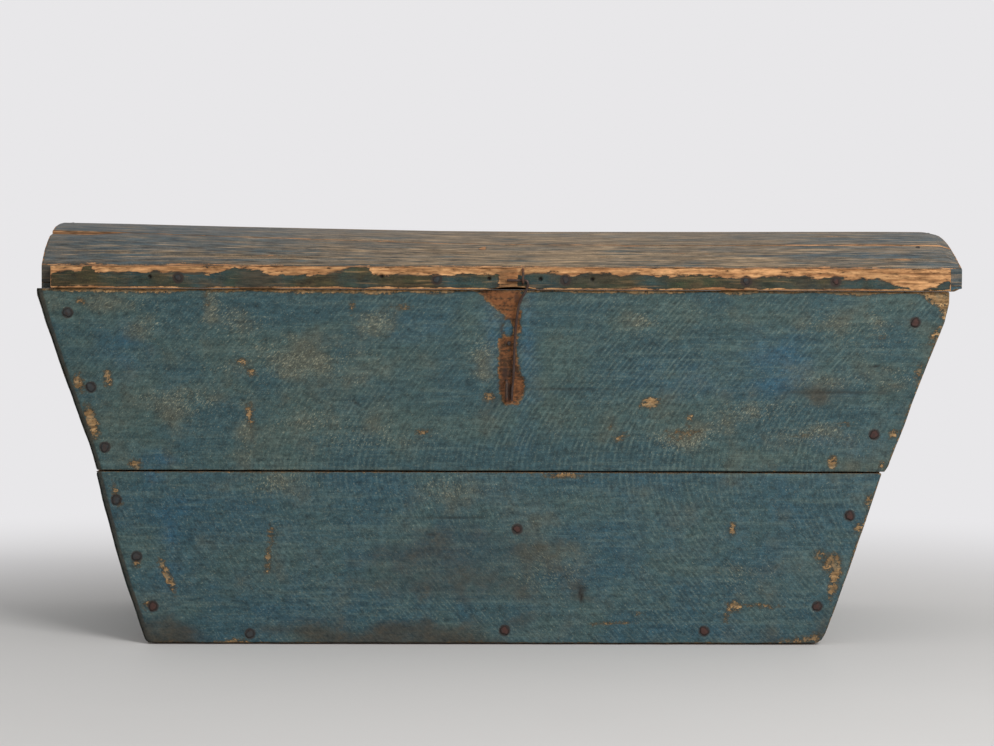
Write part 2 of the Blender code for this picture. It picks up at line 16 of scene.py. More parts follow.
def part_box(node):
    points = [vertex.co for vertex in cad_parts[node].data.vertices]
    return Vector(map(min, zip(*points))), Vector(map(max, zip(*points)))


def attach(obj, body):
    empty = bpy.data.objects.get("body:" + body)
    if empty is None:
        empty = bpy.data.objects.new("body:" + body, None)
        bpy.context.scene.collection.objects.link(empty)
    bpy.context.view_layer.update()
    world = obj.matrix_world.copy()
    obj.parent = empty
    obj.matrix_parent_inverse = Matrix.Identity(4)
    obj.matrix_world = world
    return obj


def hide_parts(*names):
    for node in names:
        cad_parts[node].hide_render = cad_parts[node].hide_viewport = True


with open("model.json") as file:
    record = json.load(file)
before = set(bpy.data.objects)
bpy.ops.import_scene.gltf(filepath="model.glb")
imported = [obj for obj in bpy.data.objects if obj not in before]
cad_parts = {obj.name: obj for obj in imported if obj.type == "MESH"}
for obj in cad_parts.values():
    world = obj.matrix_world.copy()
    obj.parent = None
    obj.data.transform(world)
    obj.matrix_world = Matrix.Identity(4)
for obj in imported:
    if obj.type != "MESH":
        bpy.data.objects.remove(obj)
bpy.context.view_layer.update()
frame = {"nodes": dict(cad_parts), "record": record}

# Camera, from the photograph's vanishing lines and corners
CAMERA_PLACE = (-0.044, -2.85, 0.430)
CAMERA_YAW = math.radians(0.98)
CAMERA_PITCH = math.radians(2.205)
CAMERA_ROLL = math.radians(0.235)
CAMERA_LENS = 80.45
CAMERA_SENSOR = 36.0

# Stage and light
FLOOR_REACH = 14.0
FLOOR_CENTRE = -0.8
FLOOR_MELT = (1.0, 2.3)
WORLD_LIGHT = 0.55
KEY_PLACE = (1.5, -2.6, 2.3)
KEY_AIM = (0, 0, 0.25)
KEY_POWER = 85
KEY_SIZE = 1.4

# Mesh grids: extra places close to each edge, and the least distance between two places
EDGE_TICKS = (0.0007, 0.0016, 0.0030, 0.0048)
LEAST_TICK = 0.0004
CLOSE_STEP = 0.001
CLOSE_SPAN = 0.004
FRONT_STEP = 0.0029
BACK_STEP = 0.0040
WALL_DEPTH_STEP = 0.006
# An edge's radius is at most this share of the board's thickness
MOST_ROUND = 0.45
BOARD_NUMBERS = 23

# Lid staves, from front to back, and how much bluer each is
STAVE_THICKNESS = 0.018
STAVE_WORDS = ("front", "front_middle", "crest", "rear_middle", "rear")
STAVE_COUNT = len(STAVE_WORDS)
STAVE_BLUE = (0.0, 0.08, -0.18, 0.14, -0.06)
# How far the joint behind the front stave drifts back, as (x, distance): that stave tapers
JOINT_DRIFT = ((-0.545, 0.006), (-0.140, 0.002), (0.250, -0.005), (0.563, -0.007))
# Warp of the dome: share along x, and lift by the distance back from the front edge
DOME_WARP = (
    (-0.545, 1.0), (-0.470, 0.86), (-0.340, 0.50), (-0.235, 0.26), (-0.070, -0.10),
    (0.060, -0.16), (0.300, -0.04), (0.480, 0.10), (0.548, 0.08), (0.563, -0.34),
)
WARP_LIFT = (
    (0.0, 0.0), (0.021, 0.0080), (0.042, 0.0108), (0.070, 0.0112),
    (0.104, 0.0099), (0.138, 0.0082), (0.180, 0.0072), (0.350, 0.0),
)
# Along the lid: how blue its paint still is, and how far it is rubbed to the wood
LID_BLUE = (
    (-0.545, 0.80), (-0.350, 0.66), (-0.150, 0.31), (0.100, 0.18),
    (0.400, 0.56), (0.480, 0.78), (0.563, 1.00),
)
LID_RUB = (
    (-0.545, 0.00), (-0.350, 0.15), (-0.150, 0.70), (0.100, 1.00),
    (0.300, 0.85), (0.420, 0.72), (0.563, 0.45),
)
# Along the joint behind the front stave: how dirty it is, and how far its edges are worn to the wood
FIRST_JOINT_DIRT = (
    (-0.545, 0.50), (-0.430, 0.50), (-0.390, 0.10), (0.100, 0.25), (0.300, 0.45), (0.420, 0.10),
)
FIRST_JOINT_BARE = ((0.100, 0.00), (0.200, 0.30), (0.300, 0.42), (0.420, 0.72), (0.563, 0.78))
JOINT_DIRT = 0.95
# Sliver split off the rear edge of the front stave at its left end: its end in x, its width and depth
SLIVER_END = (-0.505, -0.446)
SLIVER_WIDTH = 0.020
SLIVER_DEPTH = 0.0042
# The lid's hidden rim comes down onto the box, so no light shows under it
RIM_DROP = 0.0005
RIM_DROP_SPAN = 0.004
# The cleats stay just under the staves
CLEAT_GAP = 0.0003
# Loss under the front end of the right cleat: its height, and where it fades in from the box and to the rear
CLEAT_CHIP = 0.0036
CLEAT_CHIP_IN = (0.006, 0.015)
CLEAT_CHIP_OUT = (0.0, 0.045)
# Painted shade on the front ends of stave and cleat at the lid's left, the end turned from the light
LEFT_END_SHADE = 0.75

# Front boards: radius of the left, right, lower and upper edge, and how wide and how far each is worn
FrontBoard = namedtuple("FrontBoard", "node seed rounding wear_width wear_strength")
FRONT_BOARDS = (
    # The upper board's top edge shows bare wood wider than its wear: real wear, widened as painted light
    # where the lid's strip shades it
    FrontBoard(
        "front_upper_board", 11, (0.0042, 0.0022, 0.0012, 0.0016),
        (0.0055, 0.0048, 0.0016, 0.0060), (0.62, 0.62, 0.35, 1.25),
    ),
    FrontBoard(
        "front_lower_board", 23, (0.0042, 0.0022, 0.0026, 0.0013),
        (0.0050, 0.0042, 0.0032, 0.0026), (0.55, 0.60, 0.60, 0.40),
    ),
)
# Wander of the front's sawn ends, as (height, distance to the right)
LEFT_WANDER = (
    (0.000, -0.0026), (0.007, -0.0038), (0.065, -0.0053), (0.113, -0.0050), (0.161, -0.0029),
    (0.2075, 0.0004), (0.2105, 0.0028), (0.245, 0.0029), (0.293, 0.0003), (0.341, -0.0022),
    (0.418, -0.0033), (0.427, -0.0012),
)
RIGHT_WANDER = (
    (0.000, -0.0036), (0.006, 0.0008), (0.014, 0.0026), (0.041, 0.0033), (0.089, 0.0038),
    (0.137, 0.0033), (0.2075, 0.0020), (0.2105, 0.0012), (0.217, 0.0026), (0.269, 0.0035),
    (0.293, 0.0027), (0.341, 0.0036), (0.390, 0.0054), (0.414, 0.0020), (0.427, -0.0026),
)
STRAIGHT = ((0.0, 0.0), (1.0, 0.0))
# Bevel along the front's left edge, darkened with painted shade since it faces away from the light
BEVEL_WIDTH = 0.0080
BEVEL_DEPTH = 0.0036
BEVEL_SHADE = 0.85
# How much bluer the front's lower board is than its upper one
LOWER_BLUE = 0.24
# How far the outlines of rubbed, dirty and bluer patches wander
PATCH_DRIFT = 0.010
# The front's lower edge just clears the floor
FOOT_LIFT = 0.0020
FOOT_SPAN = 0.006
# Heights from the floor up to which the back and the ends are dirty, and how much
BACK_DIRT_HEIGHT = 0.035
END_DIRT_HEIGHT = 0.04
LOW_DIRT = 0.8

# Share of the strip's height at which its paint starts, along x
STRIP_WEAR_LINE = (
    (-0.530, 0.66), (-0.495, 0.68), (-0.489, 1.05), (-0.484, 1.05), (-0.478, 0.72), (-0.400, 0.72),
    (-0.390, 0.66), (-0.345, 0.62), (-0.315, 0.86), (-0.285, 0.84), (-0.270, 0.68), (-0.215, 0.62),
    (-0.185, 0.74), (-0.172, 1.05), (-0.155, 1.05), (-0.148, 0.68), (-0.115, 0.66), (-0.092, 0.62),
    (-0.055, 0.60), (-0.040, 0.68), (0.000, 0.66), (0.050, 0.69), (0.100, 0.70), (0.180, 0.66),
    (0.250, 0.59), (0.330, 0.57), (0.400, 0.58), (0.455, 0.52), (0.480, 0.28), (0.505, 0.04),
    (0.520, 0.06), (0.527, 0.15), (0.545, 0.46), (0.549, 0.46),
)
STRIP_WEAR_DEPTH = 0.0034
# How blue the strip's paint is, along x
STRIP_BLUE = (
    (-0.530, 0.05), (-0.485, 0.10), (-0.468, 0.90), (-0.440, 0.60), (-0.400, 0.15), (-0.360, 0.75),
    (-0.260, 0.55), (-0.205, 0.20), (-0.186, 0.95), (-0.172, 0.80), (-0.160, 0.10), (-0.075, 0.10),
    (-0.050, 0.95), (-0.035, 0.70), (-0.015, 0.20), (0.040, 0.90), (0.070, 0.95), (0.082, 0.15),
    (0.160, 0.00), (0.185, 0.60), (0.210, 0.10), (0.420, 0.15), (0.450, 0.60), (0.500, 0.35),
    (0.549, 0.60),
)
# The strip's right end is cut back over a span
STRIP_CUT = 0.0034
STRIP_CUT_SPAN = 0.04
# Holes in the strip: x and height
STRIP_HOLES = (
    (-0.413, 0.0135), (-0.137, 0.0150), (-0.0085, 0.0130), (0.053, 0.0125), (0.115, 0.0125),
)
STRIP_HOLE_RADIUS = 0.0021
STRIP_HOLE_DEPTH = 0.0030
# Cracks along the strip's bare right end: x, height, half length and half width
STRIP_CRACKS = (
    (0.498, 0.0203, 0.027, 0.0005), (0.500, 0.0135, 0.012, 0.0005), (0.438, 0.0212, 0.020, 0.0004),
)
CRACK_STRENGTH = 0.75
# Holes and cracks have ragged outlines to the right of this x
RAGGED_FROM = 0.4
# Raised lower edge at the hook: x, half span, height, and how far up it reaches
STRIP_BULGE = (0.020, 0.027, 0.0030)
STRIP_BULGE_SPAN = 0.008
# Bare patch under the lid staple, and grid columns along it
STRIP_PATCH = ((0.003, 0.0), (0.026, 0.0), (0.025, 0.030), (0.003, 0.030))
STRIP_COLUMNS = (0.026, 0.014)

Mark = namedtuple("Mark", "x z wide high turn strength")


def marks_mm(*rows):
    """Marks from rows in millimetres: x, z, half width, half height; then turn in degrees, strength."""
    return [Mark(*(value / 1000 for value in row[:4]), *row[4:]) for row in rows]


# Worn streaks along the first staves, with the distance back from the stave's front edge for z
STAVE_STREAKS = {
    "front": marks_mm(
        (-456, 21, 80, 2.4, 0, 0.34), (-309, 18.5, 85, 2.8, 0, 0.52), (-184, 38.7, 15, 2.4, 0, 0.48),
        (-48, 40, 22, 3, 0, 0.58), (9, 38.5, 26, 2.4, 0, 0.34), (21, 68, 11, 3, 0, 0.46),
        (131, 30, 28, 2.4, 0, 0.42), (168, 69, 33, 2.6, 0, 0.46), (246, 41.7, 45, 2.4, 0, 0.4),
        (245, 29, 45, 2.4, 0, 0.34), (418, 28.5, 15, 2.6, 0, 0.54), (492, 23, 31, 2.6, 0, 0.6),
    ),
    "front_middle": marks_mm(
        (-147, 4, 51, 2.6, 0, 0.46), (316, 16.5, 61, 2.6, 0, 0.44), (417, 40, 32, 3, 0, 0.46),
    ),
}
# Bands of the lid where blue paint is left, placed like the streaks
STAVE_BANDS = {
    "front": marks_mm(
        (435, 37, 90, 10, 0, 1), (270, 56, 50, 6, 0, 0.5),
    ),
    "front_middle": marks_mm(
        (450, 24, 100, 12, 0, 0.6),
    ),
}
# Chips and scrapes of the front, down to the wood
BARE_MARKS = marks_mm(
    (-464.4, 321.3, 5, 10.5, 8, 0.85), (-7, 299, 9, 8, 0, 0.52), (-430.8, 217.1, 8, 8.5, 0, 0.66),
    (-303.6, 340, 6.2, 4.2, 0, 0.72), (-292.8, 326.8, 5.8, 4.2, -20, 0.78),
    (-294, 277.7, 4.8, 13, 4, 0.72), (-495.6, 410.1, 6, 3.2, -20, 0.62),
    (-346.8, 414.3, 3.5, 8.5, 12, 0.52), (-172.8, 406.6, 3.2, 7.5, 0, 0.72),
    (-112.8, 405.9, 9.5, 2.6, 0, 0.8), (-86.4, 257, 6.2, 2.8, 0, 0.85), (186, 291.8, 10.5, 5.6, 8, 0.98),
    (224.4, 253.7, 25, 7.5, 6, 0.4), (234, 273, 5, 9, -10, 0.62), (150, 249.7, 9, 5, 12, 0.6),
    (138, 264, 3, 6.5, 10, 0.62), (370, 253, 18, 5, 0, 0.3), (422.4, 267.7, 7.5, 2.6, -8, 0.66),
    (405.6, 219.6, 4.6, 8.5, 0, 0.92), (465.6, 219.9, 3.6, 4.4, 0, 0.85),
    (478.8, 254.7, 4.6, 4.6, 0, 0.85), (463.2, 372.3, 5.5, 3, 0, 0.6), (535, 418, 24, 9.5, -24, 0.86),
    (542, 402, 8.5, 9, 0, 0.8), (527, 375, 6, 12, -20, 0.6), (509, 329, 5, 12, -20, 0.58),
    (-483, 267.2, 6.5, 19, 17, 0.98), (-499, 315, 7.5, 14, 18, 0.58), (-392.4, 81.6, 3.4, 17, 24, 0.92),
    (-268.8, 132.8, 3.4, 11, -3, 0.55), (-272.4, 104, 3.2, 12.5, -3, 0.92),
    (285.6, 141.3, 4.2, 5.8, 0, 0.86), (289.2, 47, 10, 7.8, -14, 0.68), (279.6, 35, 3.6, 5, 0, 0.68),
    (320.4, 47.1, 10, 1.3, 0, 0.95), (144, 26.2, 11, 1.3, 3, 0.8), (172.8, 37.8, 4.5, 1.3, 0, 0.76),
    (85, 204.5, 14, 2.2, 0, 0.98), (393, 108, 11, 9, 0, 0.48), (406, 100, 12, 13, -20, 0.62),
    (410.5, 86, 6, 15, -16, 0.92), (407.5, 68, 4.2, 13, -14, 0.78), (450, 175.4, 4.2, 6, -18, 0.8),
    (438.5, 143, 5.5, 7, -18, 0.76), (372, 5.8, 24, 3.6, 4, 0.8), (387, 9, 7.5, 6, 30, 0.74),
    (-398, 2.5, 9, 2, 0, 0.86), (-317, 2.8, 13, 2.2, 0, 0.92), (-39.6, 3, 11, 1.8, 0, 0.86),
    (-454.5, 180, 4.2, 13, 14, 0.72), (-431, 99, 5.6, 7.5, 0, 0.6), (-417, 47, 6.8, 4.2, -10, 0.66),
)
# Rubbed, paler patches of the front
RUB_MARKS = marks_mm(
    (-142.8, 387.6, 19, 15, 0, 1), (-16.8, 336.6, 13, 23, 12, 1), (-426, 383.6, 18, 12, 0, 0.8),
    (-235, 343, 68, 20, 0, 0.8), (-306, 387, 25, 13, 0, 0.8), (-245, 325, 35, 7, 0, 1),
    (457, 385.5, 20, 20, 0, 0.8), (420, 380, 50, 18, 0, 0.6), (303.6, 284, 30, 9, 4, 0.9),
    (172.8, 393.8, 16, 8, -20, 1), (420, 318, 45, 9, 0, 0.8), (300, 82, 28, 15, 0, 0.6),
    (-470, 408, 50, 8, 0, 0.6), (-378, 290, 43, 19, 0, 0.8), (-150, 250, 70, 20, 0, 0.5),
    (-224, 270, 33, 12, 0, 0.7), (-340.4, 413, 4, 12, 4, 1.3), (-299, 255, 4, 20, 0, 1),
    (-260, 195, 35, 12, 0, 0.9), (-60, 185, 30, 15, 0, 0.8), (70, 90, 50, 30, 0, 0.5),
    (227, 254, 31, 10, 6, 1.2), (375, 251, 32, 9.5, 0, 1.1),
)
# Dirt on the front
GRIME_MARKS = marks_mm(
    (-395, 15, 45, 26, -15, 0.74), (-115, 8, 145, 26, 0, 0.85), (-40, 95, 150, 55, 0, 0.5),
    (-198, 8, 60, 18, 0, 0.9), (-45, 6, 90, 15, 0, 0.7), (25, 30, 35, 16, 10, 0.55),
    (-76.8, 111, 38, 17, 0, 0.6), (104.4, 63, 12, 14, 0, 1), (420, 305.5, 50, 5, 0, 0.85),
    (-190, 300, 80, 6, 3, 0.3), (360, 4, 60, 8, 0, 0.6), (302, 85, 30, 13, 0, 0.62),
    (-3, 296, 12, 11, 20, 0.85), (396, 22, 7, 22, -18, 0.7),
)
# Bluer paint on the front
FRESH_MARKS = marks_mm(
    (-405.6, 208, 11, 17, 0, 0.95), (-389, 135, 12.5, 42, 0, 0.95), (-8.4, 385.8, 12, 20, 0, 0.75),
    (-82.8, 381, 26, 12, 0, 0.6), (37.5, 360, 7, 48, 0, 1), (-3, 378, 7, 24, 0, 0.95),
    (15, 381.5, 8, 11, 0, 1), (270, 322, 90, 15, 0, 0.55), (340, 340, 45, 36, 0, 0.66),
    (428, 245, 25, 12, 0, 0.6), (-445, 350, 25, 30, 0, 0.45), (-360, 208, 50, 8, 0, 0.35),
    (345, 190, 60, 12, 0, 0.4), (280, 18, 70, 14, 0, 0.5), (-290, 50, 60, 20, 0, 0.4),
)
# Splits, gouges and worm holes, cut into the front and painted near-black as the shade inside them
CUT_MARKS = marks_mm(
    (-53.4, 153.1, 25, 0.7, 0, 0.8), (-77.4, 132.9, 5, 0.8, 0, 0.7), (78.6, 308.4, 43, 0.8, 0, 0.6),
    (-168, 291.5, 5.5, 1.6, -35, 0.8), (457.2, 337.2, 6.5, 1.4, 10, 0.8), (103.5, 60, 2, 9.5, 8, 0.9),
    (106, 68, 7, 2.4, -8, 0.5), (415, 305.5, 42, 0.9, 0, 0.6), (127.2, 186, 1.4, 1.4, 0, 0.9),
    (145.2, 163.2, 1.4, 1.2, 0, 0.9), (260.4, 160.2, 1.4, 1.2, 0, 0.9), (332.4, 174.9, 1.4, 1.4, 0, 0.9),
    (-474, 396.9, 1.4, 1.4, 0, 0.9), (418, 217, 1.4, 1.4, 0, 0.9),
)
# Bare ghost of a lost hasp: outlines in x and z, grid columns along it, paint left in it and its rust
GHOST_OUTLINES = (
    ((-0.0250, 0.4275), (0.0350, 0.4275), (0.0305, 0.4160), (0.0295, 0.3950), (0.0070, 0.3970)),
    ((0.0100, 0.4020), (0.0300, 0.4020), (0.0290, 0.3560), (0.0064, 0.3560)),
    ((0.0040, 0.3690), (0.0262, 0.3690), (0.0290, 0.3200), (0.0024, 0.3200)),
    ((0.0048, 0.3060), (0.0040, 0.3260), (0.0285, 0.3290), (0.0345, 0.3220), (0.0345, 0.3000),
     (0.0260, 0.2895), (0.0090, 0.2890)),
)
GHOST_COLUMNS = (0.002, 0.010, 0.018, 0.026, 0.034)
GHOST_PAINT = marks_mm(
    (15, 381.5, 6.2, 9.5, 0, 1), (28, 356, 3.6, 18, 0, 0.8),
)
GHOST_RUST = marks_mm(
    (16, 392.5, 6.8, 2, 0, 0.95), (6.8, 381, 2.8, 13, 0, 0.75), (13, 364, 5, 4.6, 0, 0.55),
    (6, 340, 3, 23, 0, 0.55), (11, 327, 5.2, 12, 0, 0.7), (6, 313, 7, 8, 0, 0.55),
    (15, 305, 5, 15, 0, 0.85), (25, 417, 5, 11, 0, 0.6), (16.6, 327, 2.5, 3, 0, 1),
    (-4, 300, 8, 5, 0, 0.4), (10, 427, 20, 2, 0, 0.7),
)
# Width over which each kind of mark fades out
BARE_SOFT = 0.009
RUB_SOFT = 0.025
GRIME_SOFT = 0.030
FRESH_SOFT = 0.030
CUT_SOFT = 0.0022
GHOST_SOFT = 0.005
GHOST_PAINT_SOFT = 0.004
GHOST_RUST_SOFT = 0.006
STREAK_SOFT = 0.004
BAND_SOFT = 0.012
HOLE_SOFT = 0.0015
PATCH_SOFT = 0.003
NAIL_RUST_SOFT = 0.004
# How deep each kind of wear sinks the front and the back
BOW_DEPTH = 0.0005
DENT_DEPTH = 0.0007
WORN_DEPTH = 0.0005
GHOST_DEPTH = 0.0006
CUT_DEPTH = 0.0016
BACK_BOW_DEPTH = 0.0004

# Nails: radius as a share of the solid's, head height, sink below the surface, shank length and rust
# around them. Hinge and back rail nails sink less
Nail = namedtuple("Nail", "place direction radius height length seed")
FRONT = (0, -1, 0)
BACK = (0, 1, 0)
NAIL_SHARE = 0.89
SMALL_NAIL_SHARES = {"batten_nail_2": 0.46}
HINGE_NAIL_SHARE = 0.98
NAIL_HEIGHT = 0.0013
HINGE_NAIL_HEIGHT = 0.0018
NAIL_SINK = 0.0009
SHALLOW_SINK = 0.0004
NAIL_SHANK = 0.008
NAIL_RUST_RADIUS = 0.0073
NAIL_RUST = 0.95
RED_NAILS = (
    "front_right_nail_1", "front_right_nail_2", "front_right_nail_3", "front_right_nail_4",
    "front_left_nail_6", "front_bottom_nail_2", "front_bottom_nail_3", "batten_nail_1", "lid_strip_nail_5",
)
# Nails that only the visual model has: back wall, back rail and stave ends
BACK_SIDE_HEIGHTS = (0.395, 0.330, 0.240, 0.175, 0.110, 0.045)
BACK_SIDE_INSET = 0.022
BACK_BOTTOM_X = (-0.28, -0.02, 0.25)
BACK_BOTTOM_Z = 0.013
BACK_NAIL_SIZE = (0.0056, 0.0022)
RAIL_NAIL_X = (-0.46, -0.20, 0.02, 0.24, 0.48)
RAIL_NAIL_SIZE = (0.0044, 0.0018)
FRONT_STAVE_NAIL = (0, 0.520, 0.90)
STAVE_NAIL_INSET = 0.011
STAVE_NAIL_SHARES = (0.25, 0.75)
STAVE_NAIL_SIZE = (0.0030, 0.0012)
STAVE_NAIL_SINK = 0.0011
FRONT_STAVE_NAIL_SINK = 0.0005

# Saw marks: the joint they fan out from, how soon they lean over away from it, and their spacing
SAW_JOINT = 0.209
SAW_BEND = 0.085
SAW_PITCH = 0.0073


def srgb(red, green, blue):
    """Linear colour from 8-bit display values."""
    levels = [value / 255 for value in (red, green, blue)]
    return tuple(v / 12.92 if v <= 0.04045 else ((v + 0.055) / 1.055) ** 2.4 for v in levels)


def darker(colour, share):
    return tuple(share * value for value in colour)


# Smooth noise for shapes

HASH_PRIMES = (73856093, 19349663, 83492791)
HASH_START = 9781
HASH_MIX = 1274126177


def hashed(cell, seed):
    """Value from -1 to 1 for each grid cell."""
    first, second, third = HASH_PRIMES
    mixed = cell[:, 0] * first ^ cell[:, 1] * second ^ cell[:, 2] * third ^ (seed * third + HASH_START)
    mixed = (mixed ^ (mixed >> 13)) * HASH_MIX
    mixed = mixed ^ (mixed >> 16)
    return (mixed & 0xFFFF) / 32767.5 - 1


def value_noise(points, seed):
    """Smooth noise from -1 to 1 at an array of points."""
    cell = np.floor(points).astype(np.int64)
    part = points - cell
    part = part * part * (3 - 2 * part)
    total = np.zeros(len(points))
    for corner in np.ndindex(2, 2, 2):
        offset = np.array(corner)
        weight = np.prod(np.where(offset, part, 1 - part), axis=1)
        total += weight * hashed(cell + offset, seed)
    return total


def rough(points, scale, seed, octaves=3):
    """Sum of noises, each twice as fine and half as strong as the last."""
    total = np.zeros(len(points))
    for octave in range(octaves):
        total += value_noise(points * scale * 2 ** octave, seed + octave) / 2 ** octave
    return total


def along(table, places):
    """Value at each place, read between the points of a short table."""
    xs, values = zip(*table)
    return np.interp(places, xs, values)


def ease(low, high, values):
    t = np.clip((values - low) / (high - low), 0, 1)
    return t * t * (3 - 2 * t)


def fade(values):
    return np.clip(values, 0, 1)


# Grids

def ticks(length, step, close=()):
    """Places along a side: even steps, closer at both ends and around the given places."""
    count = max(2, round(length / step))
    places = list(np.linspace(0, length, count + 1))
    places += [t for t in EDGE_TICKS if t < length / 2]
    places += [length - t for t in EDGE_TICKS if t < length / 2]
    for middle in close:
        places += list(np.arange(middle - CLOSE_SPAN, middle + CLOSE_SPAN, CLOSE_STEP))
    places = np.unique(np.clip(places, 0, length))
    kept = [places[0]]
    for place in places[1:]:
        if place - kept[-1] > LEAST_TICK:
            kept.append(place)
    kept[-1] = length
    return np.array(kept)


def block(sides):
    """Closed grid over a box whose three sides have the given tick places: points and quads."""
    counts = [len(side) for side in sides]
    shell = np.zeros(counts, bool)
    for axis in range(3):
        for end in (0, -1):
            shell[(slice(None),) * axis + (end,)] = True
    number = np.full(counts, -1)
    number[shell] = np.arange(shell.sum())
    spread = np.meshgrid(*sides, indexing="ij")
    points = np.stack([values[shell] for values in spread], axis=1)
    quads = []
    for axis in range(3):
        for end in (0, -1):
            layer = np.take(number, end, axis=axis)
            quad = np.stack((layer[:-1, :-1], layer[1:, :-1], layer[1:, 1:], layer[:-1, 1:]), axis=-1)
            quad = quad.reshape(-1, 4)
            outward = (end == -1) != (axis == 1)
            quads.append(quad if outward else quad[:, ::-1])
    return points, np.concatenate(quads)


def rounded(points, size, radius):
    """Round a block's edges by a radius per point: new points and outward directions."""
    reach = np.asarray(radius)[:, None]
    inner = np.clip(points, reach, np.array(size) - reach)
    out = points - inner
    length = np.linalg.norm(out, axis=1, keepdims=True)
    direction = out / np.maximum(length, 1e-9)
    return inner + direction * np.minimum(length, reach), direction


# Objects

def linked(name, data):
    """New object in the scene."""
    made = bpy.data.objects.new(name, data)
    bpy.context.scene.collection.objects.link(made)
    return made


def set_marks(mesh, marks):
    """Named point attributes from arrays."""
    for key, values in marks.items():
        layer = mesh.attributes.new(key, "FLOAT", "POINT")
        layer.data.foreach_set("value", np.asarray(values, np.float32))


def new_mesh(name, points, quads, marks):
    """Mesh object from arrays, with its faces turned outward, its marks and a number of its own."""
    a, b, c = points[quads[:, 0]], points[quads[:, 1]], points[quads[:, 2]]
    if np.einsum("ij,ij->i", a, np.cross(b, c)).sum() < 0:
        quads = quads[:, ::-1]
    mesh = bpy.data.meshes.new(name)
    mesh.from_pydata(points.tolist(), [], quads.tolist())
    number = sum(map(ord, name)) % BOARD_NUMBERS / BOARD_NUMBERS
    set_marks(mesh, dict(marks, board=np.full(len(points), number)))
    mesh.shade_smooth()
    return linked(name, mesh)


def stand_for(piece, node, material):
    """Show a piece in the place of a CAD node, on its body and with its material."""
    record = frame["record"]
    body = next(b for b, nodes in record["behaviour"]["bodies"].items() if node in nodes)
    piece.data.materials.clear()
    piece.data.materials.append(material)
    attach(piece, body)
    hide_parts(node)


def vertex_values(mesh, key):
    """Places or normals of a mesh's points."""
    found = np.empty(len(mesh.vertices) * 3)
    mesh.vertices.foreach_get(key, found)
    return found.reshape(-1, 3)


def node_points(node):
    return vertex_values(frame["nodes"][node].data, "co")


def node_middle(node):
    return sum(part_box(node), Vector()) / 2


# Marks

def mark_mask(x, z, marks, soft, ragged=0):
    """Strongest mark at each place: its strength inside, half on the outline and none outside."""
    best = np.zeros(len(x))
    for mark in marks:
        turn = math.radians(mark.turn)
        dx, dz = x - mark.x, z - mark.z
        u = (dx * math.cos(turn) + dz * math.sin(turn)) / mark.wide
        v = (dz * math.cos(turn) - dx * math.sin(turn)) / mark.high
        distance = (np.hypot(u, v) - 1) * min(mark.wide, mark.high) + ragged
        best = np.maximum(best, mark.strength * fade(0.5 - distance / soft))
    return best


def outline_mask(x, z, outline, soft, ragged=0):
    """Inside of a convex outline: one inside, half on it and none outside."""
    inside = np.full(len(x), np.inf)
    middle = np.mean(outline, axis=0)
    for (x0, z0), (x1, z1) in zip(outline, outline[1:] + outline[:1]):
        normal = np.array((z1 - z0, x0 - x1)) / math.hypot(x1 - x0, z1 - z0)
        if normal @ (middle - (x0, z0)) < 0:
            normal = -normal
        inside = np.minimum(inside, (x - x0) * normal[0] + (z - z0) * normal[1])
    return fade(0.5 + (inside + ragged) / soft)


def ghost_mask(x, z, ragged):
    mask = np.zeros(len(x))
    for outline in GHOST_OUTLINES:
        mask = np.maximum(mask, outline_mask(x, z, outline, GHOST_SOFT, ragged))
    return mask * (1 - mark_mask(x, z, GHOST_PAINT, GHOST_PAINT_SOFT, ragged))


def nail_rust(x, z, places):
    spots = [Mark(px, pz, NAIL_RUST_RADIUS, NAIL_RUST_RADIUS, 0, NAIL_RUST) for px, pz in places]
    return mark_mask(x, z, spots, NAIL_RUST_SOFT)


def strengthen(marks, key, values):
    marks[key] = np.maximum(marks[key], values)


def overwrite(marks, where, **values):
    for key, value in values.items():
        marks[key] = np.where(where, value, marks[key])


# Boards of the box

def trapezoid(node):
    """Ends of a board's lower and upper edge: left and right x at the lowest and highest z."""
    points = node_points(node)
    low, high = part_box(node)
    rows = [points[abs(points[:, 2] - z) < 0.0005] for z in (low.z, high.z)]
    return [(row[:, 0].min(), row[:, 0].max()) for row in rows]


